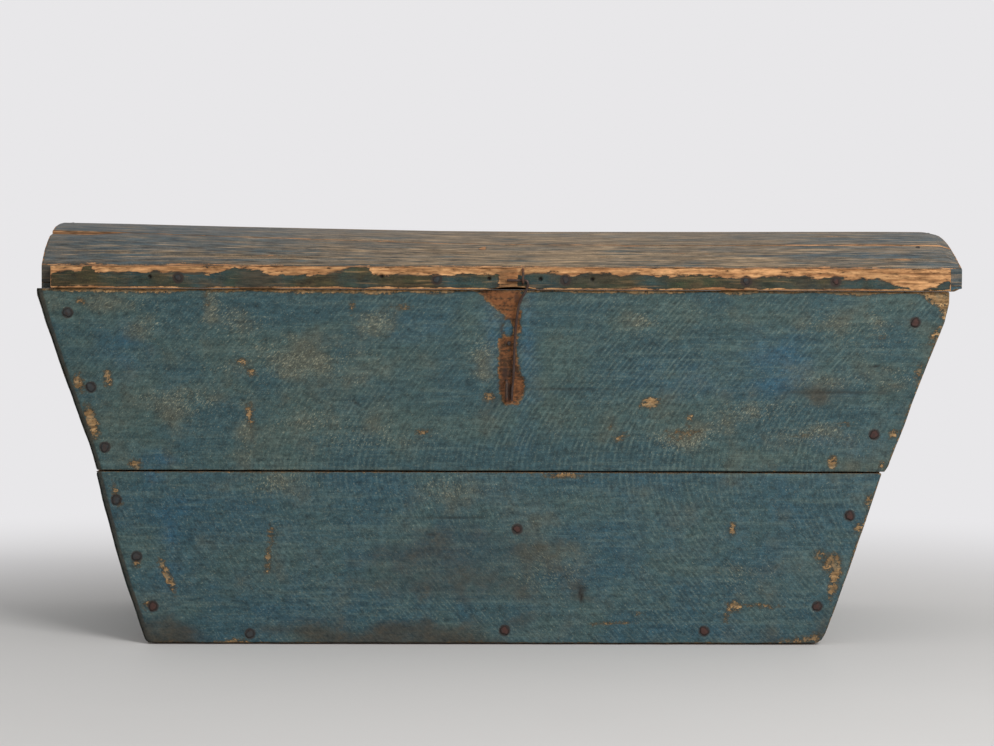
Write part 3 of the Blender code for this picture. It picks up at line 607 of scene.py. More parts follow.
class WallBoard:
    """Dense board of the front (sign -1) or back (+1) wall.

    rounding gives the radius of the left, right, lower and upper edge.
    """

    def __init__(self, node, sign, seed, step, rounding, left=STRAIGHT, right=STRAIGHT, close=()):
        low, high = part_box(node)
        (low_left, low_right), (high_left, high_right) = trapezoid(node)
        length = (low_right - low_left + high_right - high_left) / 2
        size = (length, high.z - low.z, high.y - low.y)
        middle_left = (low_left + high_left) / 2
        near = [place - middle_left for place in close]
        sides = (ticks(size[0], step, near), ticks(size[1], step), ticks(size[2], WALL_DEPTH_STEP))
        points, self.quads = block(sides)
        u, v = points[:, 0], points[:, 1]
        wear = rough(points, 40, seed) * 0.5 + 0.8
        self.gaps = np.stack((u, size[0] - u, v, size[1] - v), axis=1)
        nearest = np.argmin(self.gaps, axis=1)
        radius = np.array(rounding)[nearest] * np.clip(wear, 0.35, 1.7)
        points, self.normal = rounded(points, size, np.minimum(radius, size[2] * MOST_ROUND))
        share = points[:, 1] / size[1]
        self.z = low.z + points[:, 1]
        left_x = low_left + (high_left - low_left) * share + along(left, self.z)
        right_x = low_right + (high_right - low_right) * share + along(right, self.z)
        self.x = left_x + (right_x - left_x) * points[:, 0] / size[0]
        self.depth = points[:, 2]
        self.inner_y = high.y if sign < 0 else low.y
        self.outer = self.normal[:, 2] > 0.3
        self.ends = abs(self.normal[:, 0]) > 0.6
        self.sign = sign
        self.seed = seed

    def place(self):
        return np.stack((self.x, self.z, self.depth), axis=1)

    def edge_wear(self, widths, strengths):
        """Bare wood along the outer edges, broken up by noise."""
        broken = rough(self.place(), 28, self.seed + 7, 4)
        wear = np.zeros(len(broken))
        for side in range(4):
            width = np.maximum(widths[side] * (1 + 0.7 * broken), 0.0004)
            wear = np.maximum(wear, fade(1 - self.gaps[:, side] / width) * strengths[side])
        return wear

    def raw(self):
        """Unpainted share: all of the inside, most of the edges and little of the ends."""
        inside = self.normal[:, 2] < -0.3
        return np.where(inside, 1.0, np.where(self.outer, 0.0, np.where(self.ends, 0.10, 0.75)))

    def end_wear(self):
        """Patchy wear of the painted ends."""
        place = np.stack((self.depth, self.z, self.depth), axis=1)
        patches = np.clip(0.26 + 0.34 * rough(place, 24, self.seed + 15, 3), 0, 0.9)
        return (self.ends & ~self.outer) * patches

    def piece(self, node, marks, sink, material):
        """Show the board in its node's place, its outer face lowered by sink."""
        y = self.inner_y + self.sign * (self.depth - np.where(self.outer, sink, 0))
        points = np.stack((self.x, y, self.z), axis=1)
        stand_for(new_mesh(node + "_worn", points, self.quads, marks), node, material)


def front_nails():
    nodes = [n for n in frame["nodes"] if n.startswith(("front_", "batten_nail_1")) and "_nail_" in n]
    return [(middle.x, middle.z) for middle in map(node_middle, nodes)]


def make_front(material):
    nails = front_nails()
    for node, seed, rounding, wear_width, wear_strength in FRONT_BOARDS:
        board = WallBoard(node, -1, seed, FRONT_STEP, rounding, LEFT_WANDER, RIGHT_WANDER, GHOST_COLUMNS)
        lower = node == "front_lower_board"
        if lower:
            board.z = board.z + FOOT_LIFT * fade(1 - board.z / FOOT_SPAN)
        x, z, outer, place = board.x, board.z, board.outer, board.place()
        ragged = 0.0014 * rough(place, 150, seed + 9, 2)
        drift = PATCH_DRIFT * rough(place * (1, 3, 1), 18, seed + 19, 3)
        worn = board.edge_wear(wear_width, wear_strength)
        worn = np.maximum(worn, mark_mask(x, z, BARE_MARKS, BARE_SOFT, ragged))
        ghost = ghost_mask(x, z, ragged)
        cut = mark_mask(x, z, CUT_MARKS, CUT_SOFT)
        bevel = fade(1 - board.gaps[:, 0] / (BEVEL_WIDTH + 0.6 * ragged))
        on_bevel = fade(bevel * 5)
        # Dirt marks, and painted shade over the left bevel
        grime = np.maximum(mark_mask(x, z, GRIME_MARKS, GRIME_SOFT, drift), on_bevel * BEVEL_SHADE)
        worn = worn * (1 - on_bevel * 0.6)
        fresh = np.maximum(mark_mask(x, z, FRESH_MARKS, FRESH_SOFT, -drift), LOWER_BLUE * lower)
        rust = np.maximum(nail_rust(x, z, nails), mark_mask(x, z, GHOST_RUST, GHOST_RUST_SOFT))
        bow = BOW_DEPTH * (rough(place, 3.0, seed + 3, 2) + 1)
        dents = DENT_DEPTH * fade(rough(place, 60, seed + 5, 2) - 0.75)
        sink = bow + dents + WORN_DEPTH * worn + GHOST_DEPTH * ghost + CUT_DEPTH * cut + BEVEL_DEPTH * bevel
        marks = {
            "worn": np.maximum(worn, ghost), "ghost": ghost,
            "rub": mark_mask(x, z, RUB_MARKS, RUB_SOFT, 1.2 * drift), "grime": grime,
            "fresh": fresh, "rust": rust, "cut": cut,
        }
        marks = {key: np.where(outer, values, 0) for key, values in marks.items()}
        marks["worn"] = np.where(outer, marks["worn"], board.end_wear())
        marks["raw"] = board.raw()
        board.piece(node, marks, sink, material)


def make_back(material):
    for node, seed in (("back_upper_board", 31), ("back_lower_board", 37)):
        board = WallBoard(node, 1, seed, BACK_STEP, rounding=(0.0020, 0.0020, 0.0014, 0.0014))
        x, z, outer, place = board.x, board.z, board.outer, board.place()
        worn = board.edge_wear(widths=(0.0045, 0.0045, 0.0030, 0.0030), strengths=(0.8, 0.8, 0.7, 0.8))
        worn = np.maximum(worn, fade(rough(place, 22, seed + 11, 4) - 1.0))
        sink = BACK_BOW_DEPTH * (rough(place, 3.0, seed + 3, 2) + 1) + WORN_DEPTH * worn
        zero = np.zeros(len(x))
        marks = {
            "worn": np.where(outer, worn, board.end_wear()), "ghost": zero, "rub": zero + 0.4,
            "grime": np.where(outer, fade(1 - z / BACK_DIRT_HEIGHT) * LOW_DIRT, 0),
            "fresh": np.clip(rough(place, 5, seed, 2), 0, 0.7),
            "rust": np.where(outer, nail_rust(x, z, BACK_NAILS), 0), "cut": zero, "raw": board.raw(),
        }
        board.piece(node, marks, sink, material)


class Slab:
    """Dense block with rounded, worn edges, ready to be placed.

    Its sides run along u, v and w. points are in the block's own frame, and piece() places them.
    """

    def __init__(self, size, steps, radius, seed, close=()):
        self.size = np.array(size)
        self.seed = seed
        sides = [ticks(size[0], steps[0], close)] + [ticks(s, step) for s, step in zip(size[1:], steps[1:])]
        self.flat, self.quads = block(sides)
        wear = np.clip(0.85 + 0.5 * rough(self.flat, 45, seed), 0.35, 1.8)
        limit = self.size.min() * MOST_ROUND
        self.points, self.normal = rounded(self.flat, size, np.minimum(radius * wear, limit))

    def edge_gap(self):
        """Distance along the surface to the nearest edge."""
        nearest = np.minimum(self.flat, self.size - self.flat)
        return np.sort(nearest, axis=1)[:, 1]

    def facing(self, axis, sign):
        return self.normal[:, axis] * sign > 0.5

    def edge_wear(self, width, strength):
        broken = rough(self.flat, 26, self.seed + 7, 4)
        width = np.maximum(width * (1 + 0.8 * broken), 0.0004)
        return fade(1 - self.edge_gap() / width) * strength

    def bow(self, axis, sign, amount):
        """Let one broad face sag unevenly, inward only."""
        share = 0.5 + 0.5 * rough(self.flat, 3.0, self.seed + 3, 2)
        self.points[:, axis] -= sign * amount * np.clip(share, 0, 1.3) * self.facing(axis, sign)

    def marks(self, painted, width=0.003, strength=0.8, chips=0.0):
        """Attributes for a plain board, painted on the given faces only."""
        cover = np.zeros(len(self.points), bool)
        for axis, sign in painted:
            cover |= self.facing(axis, sign)
        spots = fade(rough(self.flat, 24, self.seed + 11, 4) - 1.0 + chips)
        zero = np.zeros(len(self.points))
        return {
            "worn": np.maximum(self.edge_wear(width, strength), spots), "ghost": zero, "rub": zero + 0.35,
            "grime": np.clip(0.5 * rough(self.flat, 7, self.seed + 13, 3), 0, 0.6),
            "fresh": np.clip(rough(self.flat, 6, self.seed + 17, 2), 0, 0.7),
            "rust": zero, "cut": zero, "raw": np.where(cover, 0.0, 1.0),
        }

    def piece(self, node, place, marks, material):
        world = place(*self.points.T)
        made = new_mesh(node + "_worn", np.stack(world, axis=1), self.quads, marks)
        stand_for(made, node, material)


def make_ends(material):
    for side, word in ((-1, "left"), (1, "right")):
        for level, seed in (("lower", 41), ("upper", 43)):
            node = f"{word}_end_{level}_board"
            low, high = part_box(node)
            (low_a, low_b), (high_a, _) = trapezoid(node)
            lean = (high_a - low_a) / (high.z - low.z)
            size = (high.y - low.y, high.z - low.z, low_b - low_a)
            slab = Slab(size, steps=(0.004, 0.004, 0.006), radius=0.0014, seed=seed + side)
            slab.bow(2, 1, 0.0012)
            inner = low_b if side < 0 else low_a
            marks = slab.marks(painted=((2, 1),), width=0.0040, strength=0.85, chips=0.05)
            height = low.z + slab.points[:, 1]
            strengthen(marks, "grime", fade(1 - height / END_DIRT_HEIGHT) * LOW_DIRT)

            def place(u, v, w):
                return inner + lean * v + side * w, low.y + u, low.z + v

            slab.piece(node, place, marks, material)


def make_bottom(material):
    for node, seed in (("bottom_front_board", 51), ("bottom_rear_board", 53)):
        low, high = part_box(node)
        (low_left, low_right), (high_left, high_right) = trapezoid(node)
        length = low_right - low_left
        size = (length, high.y - low.y, high.z - low.z)
        slab = Slab(size, steps=(0.005, 0.004, 0.006), radius=0.0016, seed=seed)
        slab.bow(2, 1, 0.0010)

        def place(u, v, w):
            share = w / (high.z - low.z)
            left = low_left + (high_left - low_left) * share
            right = low_right + (high_right - low_right) * share
            return left + (right - left) * u / length, low.y + v, low.z + w

        slab.piece(node, place, slab.marks(painted=()), material)


def make_batten(material):
    node = "front_inner_batten"
    low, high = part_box(node)
    size = (high.z - low.z, high.x - low.x, high.y - low.y)
    slab = Slab(size, steps=(0.004, 0.003, 0.004), radius=0.0018, seed=57)
    slab.bow(2, 1, 0.0012)
    slab.piece(node, lambda u, v, w: (low.x + v, low.y + w, low.z + u), slab.marks(painted=()), material)


# Boards of the lid

class Dome:
    """Arc of the lid, read from its staves and its front strip."""

    def __init__(self):
        low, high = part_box("lid_stave_front")
        self.left, self.right, self.front = low.x, high.x, low.y
        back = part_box("lid_stave_rear")[1].y
        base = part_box("lid_front_strip")[1].z
        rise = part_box("lid_stave_crest")[1].z - base
        half = (back - self.front) / 2
        self.radius = (half ** 2 + rise ** 2) / (2 * rise)
        self.middle = (self.front + back) / 2
        self.centre_z = base + rise - self.radius
        self.half_angle = math.asin(half / self.radius)

    def even_joint(self, index):
        return -self.half_angle + 2 * self.half_angle * index / STAVE_COUNT

    def joint(self, index, x):
        """Angle of a stave joint. The one behind the front stave drifts along the lid."""
        drift = along(JOINT_DRIFT, x) / self.radius if index == 1 else 0 * x
        return self.even_joint(index) + drift

    def top(self, angle):
        return self.middle + self.radius * np.sin(angle), self.centre_z + self.radius * np.cos(angle)

    def under(self, angle, edge):
        """Underside at an angle; at the front and back edges it is cut upright."""
        if edge:
            y, z = self.top(angle)
            return y, z - STAVE_THICKNESS / math.cos(self.half_angle)
        depth = self.radius - STAVE_THICKNESS
        return self.middle + depth * np.sin(angle), self.centre_z + depth * np.cos(angle)

    def warp(self, x, y):
        """Lift of the old lid's top: its left end stands higher."""
        return along(DOME_WARP, x) * along(WARP_LIFT, y - self.front)

    def sliver(self, x, ahead):
        """Loss at the left end, ahead of the front stave's rear edge."""
        return SLIVER_DEPTH * (1 - ease(*SLIVER_END, x)) * fade(1 - ahead / SLIVER_WIDTH)


dome = Dome()


def stave_marks(slab, index, x, arc):
    """Wear of one stave: its ends, joints, streaks and blue bands, and its painted end grain."""
    word = STAVE_WORDS[index]
    back = slab.flat[:, 1]
    top, under = slab.facing(2, 1), slab.facing(2, -1)
    painted = ((2, 1), (0, 1), (0, -1), (1, index - 2))
    marks = slab.marks(painted, width=0.0022, strength=0.62, chips=-1.0)
    marks["grime"] = 0.5 * marks["grime"]
    end_gap = np.minimum(slab.flat[:, 0], slab.size[0] - slab.flat[:, 0])
    strengthen(marks, "worn", fade(1 - end_gap / 0.004) * 0.7 * top)
    for number, gap in ((index, back), (index + 1, arc - back)):
        if 0 < number < STAVE_COUNT:
            dirt = along(FIRST_JOINT_DIRT, x) if number == 1 else JOINT_DIRT
            strengthen(marks, "grime", fade(1.4 - gap / 0.0024) * np.where(top, dirt, JOINT_DIRT * under))
        if number == 1:
            strengthen(marks, "worn", along(FIRST_JOINT_BARE, x) * fade(1.3 - gap / 0.0038) * top)
    ragged = 0.0010 * rough(slab.flat, 60, 95 + index, 2)
    streaks = top * mark_mask(x, back, STAVE_STREAKS.get(word, ()), STREAK_SOFT, ragged)
    bands = top * mark_mask(x, back, STAVE_BANDS.get(word, ()), BAND_SOFT, 3 * ragged)
    strengthen(marks, "worn", streaks)
    marks["fresh"] = along(LID_BLUE, x) + STAVE_BLUE[index] + 0.40 * bands
    marks["rub"] = np.maximum(along(LID_RUB, x) - STAVE_BLUE[index] - 0.5 * bands, 0) + 2.4 * streaks
    end_grain = slab.facing(0, 1) | slab.facing(0, -1)
    marks["butt"] = 1.0 * end_grain
    overwrite(marks, end_grain, fresh=0.8, rub=0)
    in_joint = slab.facing(1, 1) if index < 2 else slab.facing(1, -1)
    if index == 1:
        in_joint |= slab.facing(1, -1)
    overwrite(marks, in_joint, raw=0.0, worn=1.3)
    if index == 0:
        front_edge = fade(1 - back / (0.004 + 0.004 * rough(slab.flat, 18, 99, 3)))
        strengthen(marks, "worn", 0.8 * front_edge * top)
        front = slab.facing(1, -1)
        # The left half of the front face is darkened as painted shade
        overwrite(marks, front & (x < 0), grime=LEFT_END_SHADE)
        overwrite(marks, front, fresh=1.0, rub=0, worn=0.3 * marks["worn"])
    return marks


def make_staves(material):
    arc = 2 * dome.half_angle / STAVE_COUNT * dome.radius
    for index, word in enumerate(STAVE_WORDS):
        node = f"lid_stave_{word}"
        low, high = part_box(node)
        size = (high.x - low.x, arc, STAVE_THICKNESS)
        slab = Slab(size, steps=(0.0045, 0.0030, 0.0045), radius=0.0015, seed=61 + index)

        def place(u, v, w):
            x = low.x + u
            first, last = dome.joint(index, x), dome.joint(index + 1, x)
            share = v / arc
            top_y, top_z = dome.top(first + (last - first) * share)
            y0, z0 = dome.under(first, index == 0)
            y1, z1 = dome.under(last, index == STAVE_COUNT - 1)
            height = w / STAVE_THICKNESS
            lift = dome.warp(x, top_y)
            if index == 0:
                lift = lift - dome.sliver(x, arc - v)
            y = (y0 + (y1 - y0) * share) * (1 - height) + top_y * height
            z = (z0 + (z1 - z0) * share) * (1 - height) + (top_z + lift) * height
            return x, y, z

        marks = stave_marks(slab, index, low.x + slab.flat[:, 0], arc)
        slab.piece(node, place, marks, material)


def make_strip(material):
    node = "lid_front_strip"
    low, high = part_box(node)
    size = (high.x - low.x, high.z - low.z, high.y - low.y)
    close = [x - low.x for x, _ in STRIP_HOLES] + [x - low.x for x in STRIP_COLUMNS]
    slab = Slab(size, steps=(0.003, 0.0013, 0.004), radius=0.0012, seed=71, close=close)
    flat = slab.flat
    x = low.x + flat[:, 0]
    rise = flat[:, 1]
    front = slab.facing(2, 1) | ((slab.normal[:, 2] > 0) & (slab.normal[:, 1] > 0))
    crown = slab.facing(1, 1)
    marks = slab.marks(painted=((2, 1), (1, 1)), width=0.0022, strength=0.85)

    # Paint lost down to a ragged line, and the wood chewed away above it
    share = rise / size[1]
    ragged = 0.07 * rough(flat, 50, 75, 4) + 0.07 * rough(flat * (1, 3, 1), 160, 76, 2)
    line = along(STRIP_WEAR_LINE, x) + ragged
    bare = fade(0.5 + (share - line) * size[1] / 0.004)
    top_loss = fade((share - line) / np.maximum(1.02 - line, 0.2))
    chewed = 0.75 + 0.35 * rough(flat, 50, 77, 3)
    losses = [Mark(hx, hz, STRIP_HOLE_RADIUS, STRIP_HOLE_RADIUS, 0, 1) for hx, hz in STRIP_HOLES]
    losses += [Mark(cx, cz, wide, tall, 0, CRACK_STRENGTH) for cx, cz, wide, tall in STRIP_CRACKS]
    holes = mark_mask(x, rise, losses, HOLE_SOFT, 0.0007 * rough(flat, 90, 87, 2) * (x > RAGGED_FROM))
    slab.points[:, 2] -= front * (STRIP_WEAR_DEPTH * top_loss ** 1.4 * chewed + STRIP_HOLE_DEPTH * holes)

    # Uneven upper edge, raised lower edge at the hook, and cut right end
    uneven = np.clip(1 + rough(flat, 20, 78, 3), 0, 2) * (flat[:, 2] / size[2])
    slab.points[:, 1] -= crown * 0.0012 * uneven
    bulge_x, bulge_span, bulge_high = STRIP_BULGE
    lift = bulge_high * fade(1 - ((x - bulge_x) / bulge_span) ** 2)
    slab.points[:, 1] += lift * fade(1 - rise / STRIP_BULGE_SPAN)
    slab.points[:, 0] -= STRIP_CUT * fade((flat[:, 0] - size[0] + STRIP_CUT_SPAN) / STRIP_CUT_SPAN)

    patch = outline_mask(x, rise, STRIP_PATCH, PATCH_SOFT) * front
    lower_width = np.maximum(0.0021 + 0.0014 * rough(flat, 30, 85, 3), 0.0006)
    lower_edge = 0.95 * fade(1.5 - rise / lower_width) * front
    marks["worn"] = np.maximum.reduce((marks["worn"], bare * front, patch, crown * 0.75, lower_edge))
    marks["ghost"] = 0.6 * patch
    # Holes and cracks are painted near-black as the shade inside them
    marks["cut"] = holes
    nails = [node_middle(f"lid_strip_nail_{number}") for number in range(1, 6)]
    marks["rust"] = nail_rust(x, rise, [(nail.x, nail.z - low.z) for nail in nails]) * front
    dirty = np.clip(0.12 + 0.5 * rough(flat, 12, 79, 3), 0, 0.8) * (1 - bare)
    # Dark line along the paint's ragged edge: painted shade under the raised paint, and dirt
    border = np.exp(-((share - line) * size[1] / 0.0016) ** 2) * fade(0.55 + 0.6 * rough(flat, 40, 86, 2))
    marks["grime"] = np.maximum(dirty, border) * front * (1 - patch)
    marks["fresh"] = fade(along(STRIP_BLUE, x) + 0.65 * rough(flat, 40, 81, 3)) * front
    slab.piece(node, lambda u, v, w: (low.x + u, high.y - w, low.z + v), marks, material)


def make_rail(material):
    node = "lid_back_rail"
    low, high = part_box(node)
    size = (high.x - low.x, high.z - low.z, high.y - low.y)
    slab = Slab(size, steps=(0.004, 0.0025, 0.004), radius=0.0014, seed=83)
    marks = slab.marks(painted=((2, 1), (1, 1), (0, 1), (0, -1)), width=0.0035, strength=0.85)
    slab.points[:, 1] -= RIM_DROP * fade(1 - slab.flat[:, 1] / RIM_DROP_SPAN)
    slab.piece(node, lambda u, v, w: (low.x + u, low.y + w, low.z + v), marks, material)


def cleat_top(y):
    """Underside of the staves above a place on the cleat."""
    corners = [dome.under(dome.even_joint(i), i in (0, STAVE_COUNT)) for i in range(STAVE_COUNT + 1)]
    return np.interp(y, *zip(*corners))


def make_cleats(material):
    for side, word in ((-1, "left"), (1, "right")):
        node = f"lid_{word}_cleat"
        low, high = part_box(node)
        tall = high.z - low.z
        size = (high.y - low.y, tall, high.x - low.x)
        slab = Slab(size, steps=(0.004, 0.003, 0.004), radius=0.0014, seed=91 + side)
        marks = slab.marks(painted=((2, 1), (0, -1)), width=0.0040, strength=0.8, chips=0.05)
        front = slab.facing(0, -1)
        overwrite(marks, front, fresh=1.0, worn=0.4 * marks["worn"])
        # The left cleat's front end is darkened as painted shade
        if side < 0:
            overwrite(marks, front, grime=LEFT_END_SHADE)

        def place(u, v, w):
            y = low.y + u
            inner = high.x if side < 0 else low.x
            top = np.minimum(cleat_top(y), high.z) - CLEAT_GAP
            chip = CLEAT_CHIP * ease(*CLEAT_CHIP_IN, w) * (1 - ease(*CLEAT_CHIP_OUT, u)) * (side > 0)
            bottom = low.z - RIM_DROP + chip
            return inner + side * w, y, bottom + v / tall * (top - bottom)

        slab.piece(node, place, marks, material)


# Ironwork

def forged(node, voxel, hammered, material, seed):
    """Copy of an iron node with its edges rounded and its faces beaten."""
    mesh = frame["nodes"][node].data.copy()
    shape = bmesh.new()
    shape.from_mesh(mesh)
    bmesh.ops.remove_doubles(shape, verts=shape.verts, dist=0.00001)
    shape.to_mesh(mesh)
    shape.free()
    rough_copy = linked(node + "_rough", mesh)
    grid = rough_copy.modifiers.new("grid", "REMESH")
    grid.mode = "VOXEL"
    grid.voxel_size = voxel
    soft = rough_copy.modifiers.new("soft", "SMOOTH")
    soft.factor = 0.5
    soft.iterations = 3
    graph = bpy.context.evaluated_depsgraph_get()
    made = bpy.data.meshes.new_from_object(rough_copy.evaluated_get(graph))
    bpy.data.objects.remove(rough_copy, do_unlink=True)
    places = vertex_values(made, "co")
    beaten = hammered * rough(places, 130, seed, 3)
    places += vertex_values(made, "normal") * beaten[:, None]
    made.vertices.foreach_set("co", places.ravel())
    made.update()
    made.shade_smooth()
    stand_for(linked(node + "_forged", made), node, material)


def make_ironwork(material, wire_material):
    """Staples, hook and hinges, each with its voxel size and the depth of its beaten faces."""
    wire, plate, pin = (0.0004, 0.00012), (0.0008, 0.00030), (0.0005, 0.00012)
    works = [("box_staple", wire), ("lid_staple", wire), ("latch_hook", wire)]
    for word, kind in (("strap", plate), ("leaf", plate), ("pin", pin)):
        works += [(f"hinge_{side}_{word}", kind) for side in ("left", "right")]
    for seed, (node, kind) in enumerate(works, start=120):
        forged(node, *kind, wire_material if node == "latch_hook" else material, seed)


NAIL_RINGS = (0.3, 0.58, 0.82, 0.96)
NAIL_SIDES = 20


def nail_shape(nail):
    """Hand-made nail along +Z: a beaten, uneven head on a short tapered shank.

    Points, faces, and how near each point is to the head's rim.
    """
    draw = np.random.default_rng(nail.seed)
    lobe = 1 + 0.10 * draw.standard_normal(3)[0]
    turn = draw.uniform(0, 2 * math.pi, 3)
    angles = 2 * math.pi * np.arange(NAIL_SIDES) / NAIL_SIDES
    outline = 1 + 0.11 * np.cos(2 * angles + turn[0]) * lobe
    outline += 0.08 * np.cos(3 * angles + turn[1])
    outline += 0.06 * np.cos(5 * angles + turn[2])
    outline *= nail.radius
    profile = [(ring, nail.height * (1 - 0.30 * ring ** 2)) for ring in NAIL_RINGS]
    profile += [(1.0, 0.45 * nail.height), (0.98, 0.0), (0.40, -0.0004), (0.22, -nail.length)]
    points = [(0.0, 0.0, nail.height)]
    for ring, level in profile:
        for angle, reach in zip(angles, outline):
            points.append((ring * reach * math.cos(angle), ring * reach * math.sin(angle), level))
    points.append((0.0, 0.0, -nail.length))
    points = np.array(points)
    head = points[:, 2] > 0
    points[:, 2] += head * 0.35 * nail.height * rough(points + nail.seed * 0.37, 380, nail.seed, 2)
    points[:, 2] = np.where(head, np.maximum(points[:, 2], 0.0001), points[:, 2])
    steps = [(i, (i + 1) % NAIL_SIDES) for i in range(NAIL_SIDES)]
    faces = [(0, 1 + i, 1 + j) for i, j in steps]
    for ring in range(len(profile) - 1):
        a, b = 1 + ring * NAIL_SIDES, 1 + (ring + 1) * NAIL_SIDES
        faces += [(a + i, b + i, b + j, a + j) for i, j in steps]
    last = 1 + (len(profile) - 1) * NAIL_SIDES
    faces += [(last + j, last + i, len(points) - 1) for i, j in steps]
    rims = [min(1.0, ring + (level <= 0)) for ring, level in profile]
    return points, faces, np.concatenate(([0.0], np.repeat(rims, NAIL_SIDES), [1.0]))


def nail_piece(name, nails):
    """One object of several nails."""
    points, faces, rims = [], [], []
    for nail in nails:
        shape, sides, rim = nail_shape(nail)
        turn = Vector(nail.direction).to_track_quat("Z", "Y").to_matrix()
        start = len(points)
        points += [Vector(nail.place) + turn @ Vector(point) for point in shape]
        faces += [tuple(start + i for i in side) for side in sides]
        rims.append(rim)
    mesh = bpy.data.meshes.new(name)
    mesh.from_pydata(points, [], faces)
    set_marks(mesh, {"rim": np.concatenate(rims)})
    mesh.shade_smooth()
    return linked(name, mesh)


def make_nails(material, red):
    """Beaten nails in the place of the CAD ones."""
    nodes = sorted(n for n in frame["nodes"] if "_nail_" in n)
    for seed, node in enumerate(nodes, start=200):
        low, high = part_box(node)
        radius = (high.x - low.x) / 2
        points = node_points(node)
        face = points[points[:, 0].argmax(), 1]
        if node.startswith("hinge"):
            way, sink, share, height = BACK, -SHALLOW_SINK, HINGE_NAIL_SHARE, HINGE_NAIL_HEIGHT
        else:
            share = SMALL_NAIL_SHARES.get(node, NAIL_SHARE)
            way, sink, height = FRONT, NAIL_SINK, NAIL_HEIGHT
        place = ((low.x + high.x) / 2, face + sink, (low.z + high.z) / 2)
        nail = Nail(place, way, radius * share, height, NAIL_SHANK, seed)
        stand_for(nail_piece(node + "_beaten", [nail]), node, red if node in RED_NAILS else material)


def find_back_nails():
    """Places of the back wall's nails: both sides, then the bottom."""
    (low_left, low_right), _ = trapezoid("back_lower_board")
    _, (high_left, high_right) = trapezoid("back_upper_board")
    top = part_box("back_upper_board")[1].z
    places = []
    for height in BACK_SIDE_HEIGHTS:
        share = height / top
        places.append((low_left + (high_left - low_left) * share + BACK_SIDE_INSET, height))
        places.append((low_right + (high_right - low_right) * share - BACK_SIDE_INSET, height))
    return places + [(x, BACK_BOTTOM_Z) for x in BACK_BOTTOM_X]


BACK_NAILS = find_back_nails()


def loose_nails(name, nails, body, material):
    piece = nail_piece(name, nails)
    piece.data.materials.append(material)
    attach(piece, body)


def make_hidden_nails(material):
    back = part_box("back_upper_board")[1].y - NAIL_SINK
    wall = []
    for seed, (x, z) in enumerate(BACK_NAILS, start=300):
        wall.append(Nail((x, back, z), BACK, *BACK_NAIL_SIZE, NAIL_SHANK, seed))
    loose_nails("back_wall_nails", wall, "box", material)
    low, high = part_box("lid_back_rail")
    y, z = high.y - SHALLOW_SINK, (low.z + high.z) / 2
    rail = [Nail((x, y, z), BACK, *RAIL_NAIL_SIZE, NAIL_SHANK, 340 + i) for i, x in enumerate(RAIL_NAIL_X)]
    loose_nails("back_rail_nails", rail, "lid", material)
    sides = (dome.left + STAVE_NAIL_INSET, dome.right - STAVE_NAIL_INSET)
    places = [FRONT_STAVE_NAIL]
    for index in range(2, STAVE_COUNT):
        places += [(index, x, share) for x in sides for share in STAVE_NAIL_SHARES]
    staves = []
    for seed, (index, x, share) in enumerate(places, start=360):
        angle = float(dome.joint(index, x) * (1 - share) + dome.joint(index + 1, x) * share)
        y, z = dome.top(angle)
        z = z + dome.warp(x, y) - (STAVE_NAIL_SINK if index else FRONT_STAVE_NAIL_SINK)
        way = (0, math.sin(angle), math.cos(angle))
        staves.append(Nail((x, float(y), float(z)), way, *STAVE_NAIL_SIZE, NAIL_SHANK, seed))
    loose_nails("stave_end_nails", staves, "lid", material)


# Materials

Blend = namedtuple("Blend", "low high share")


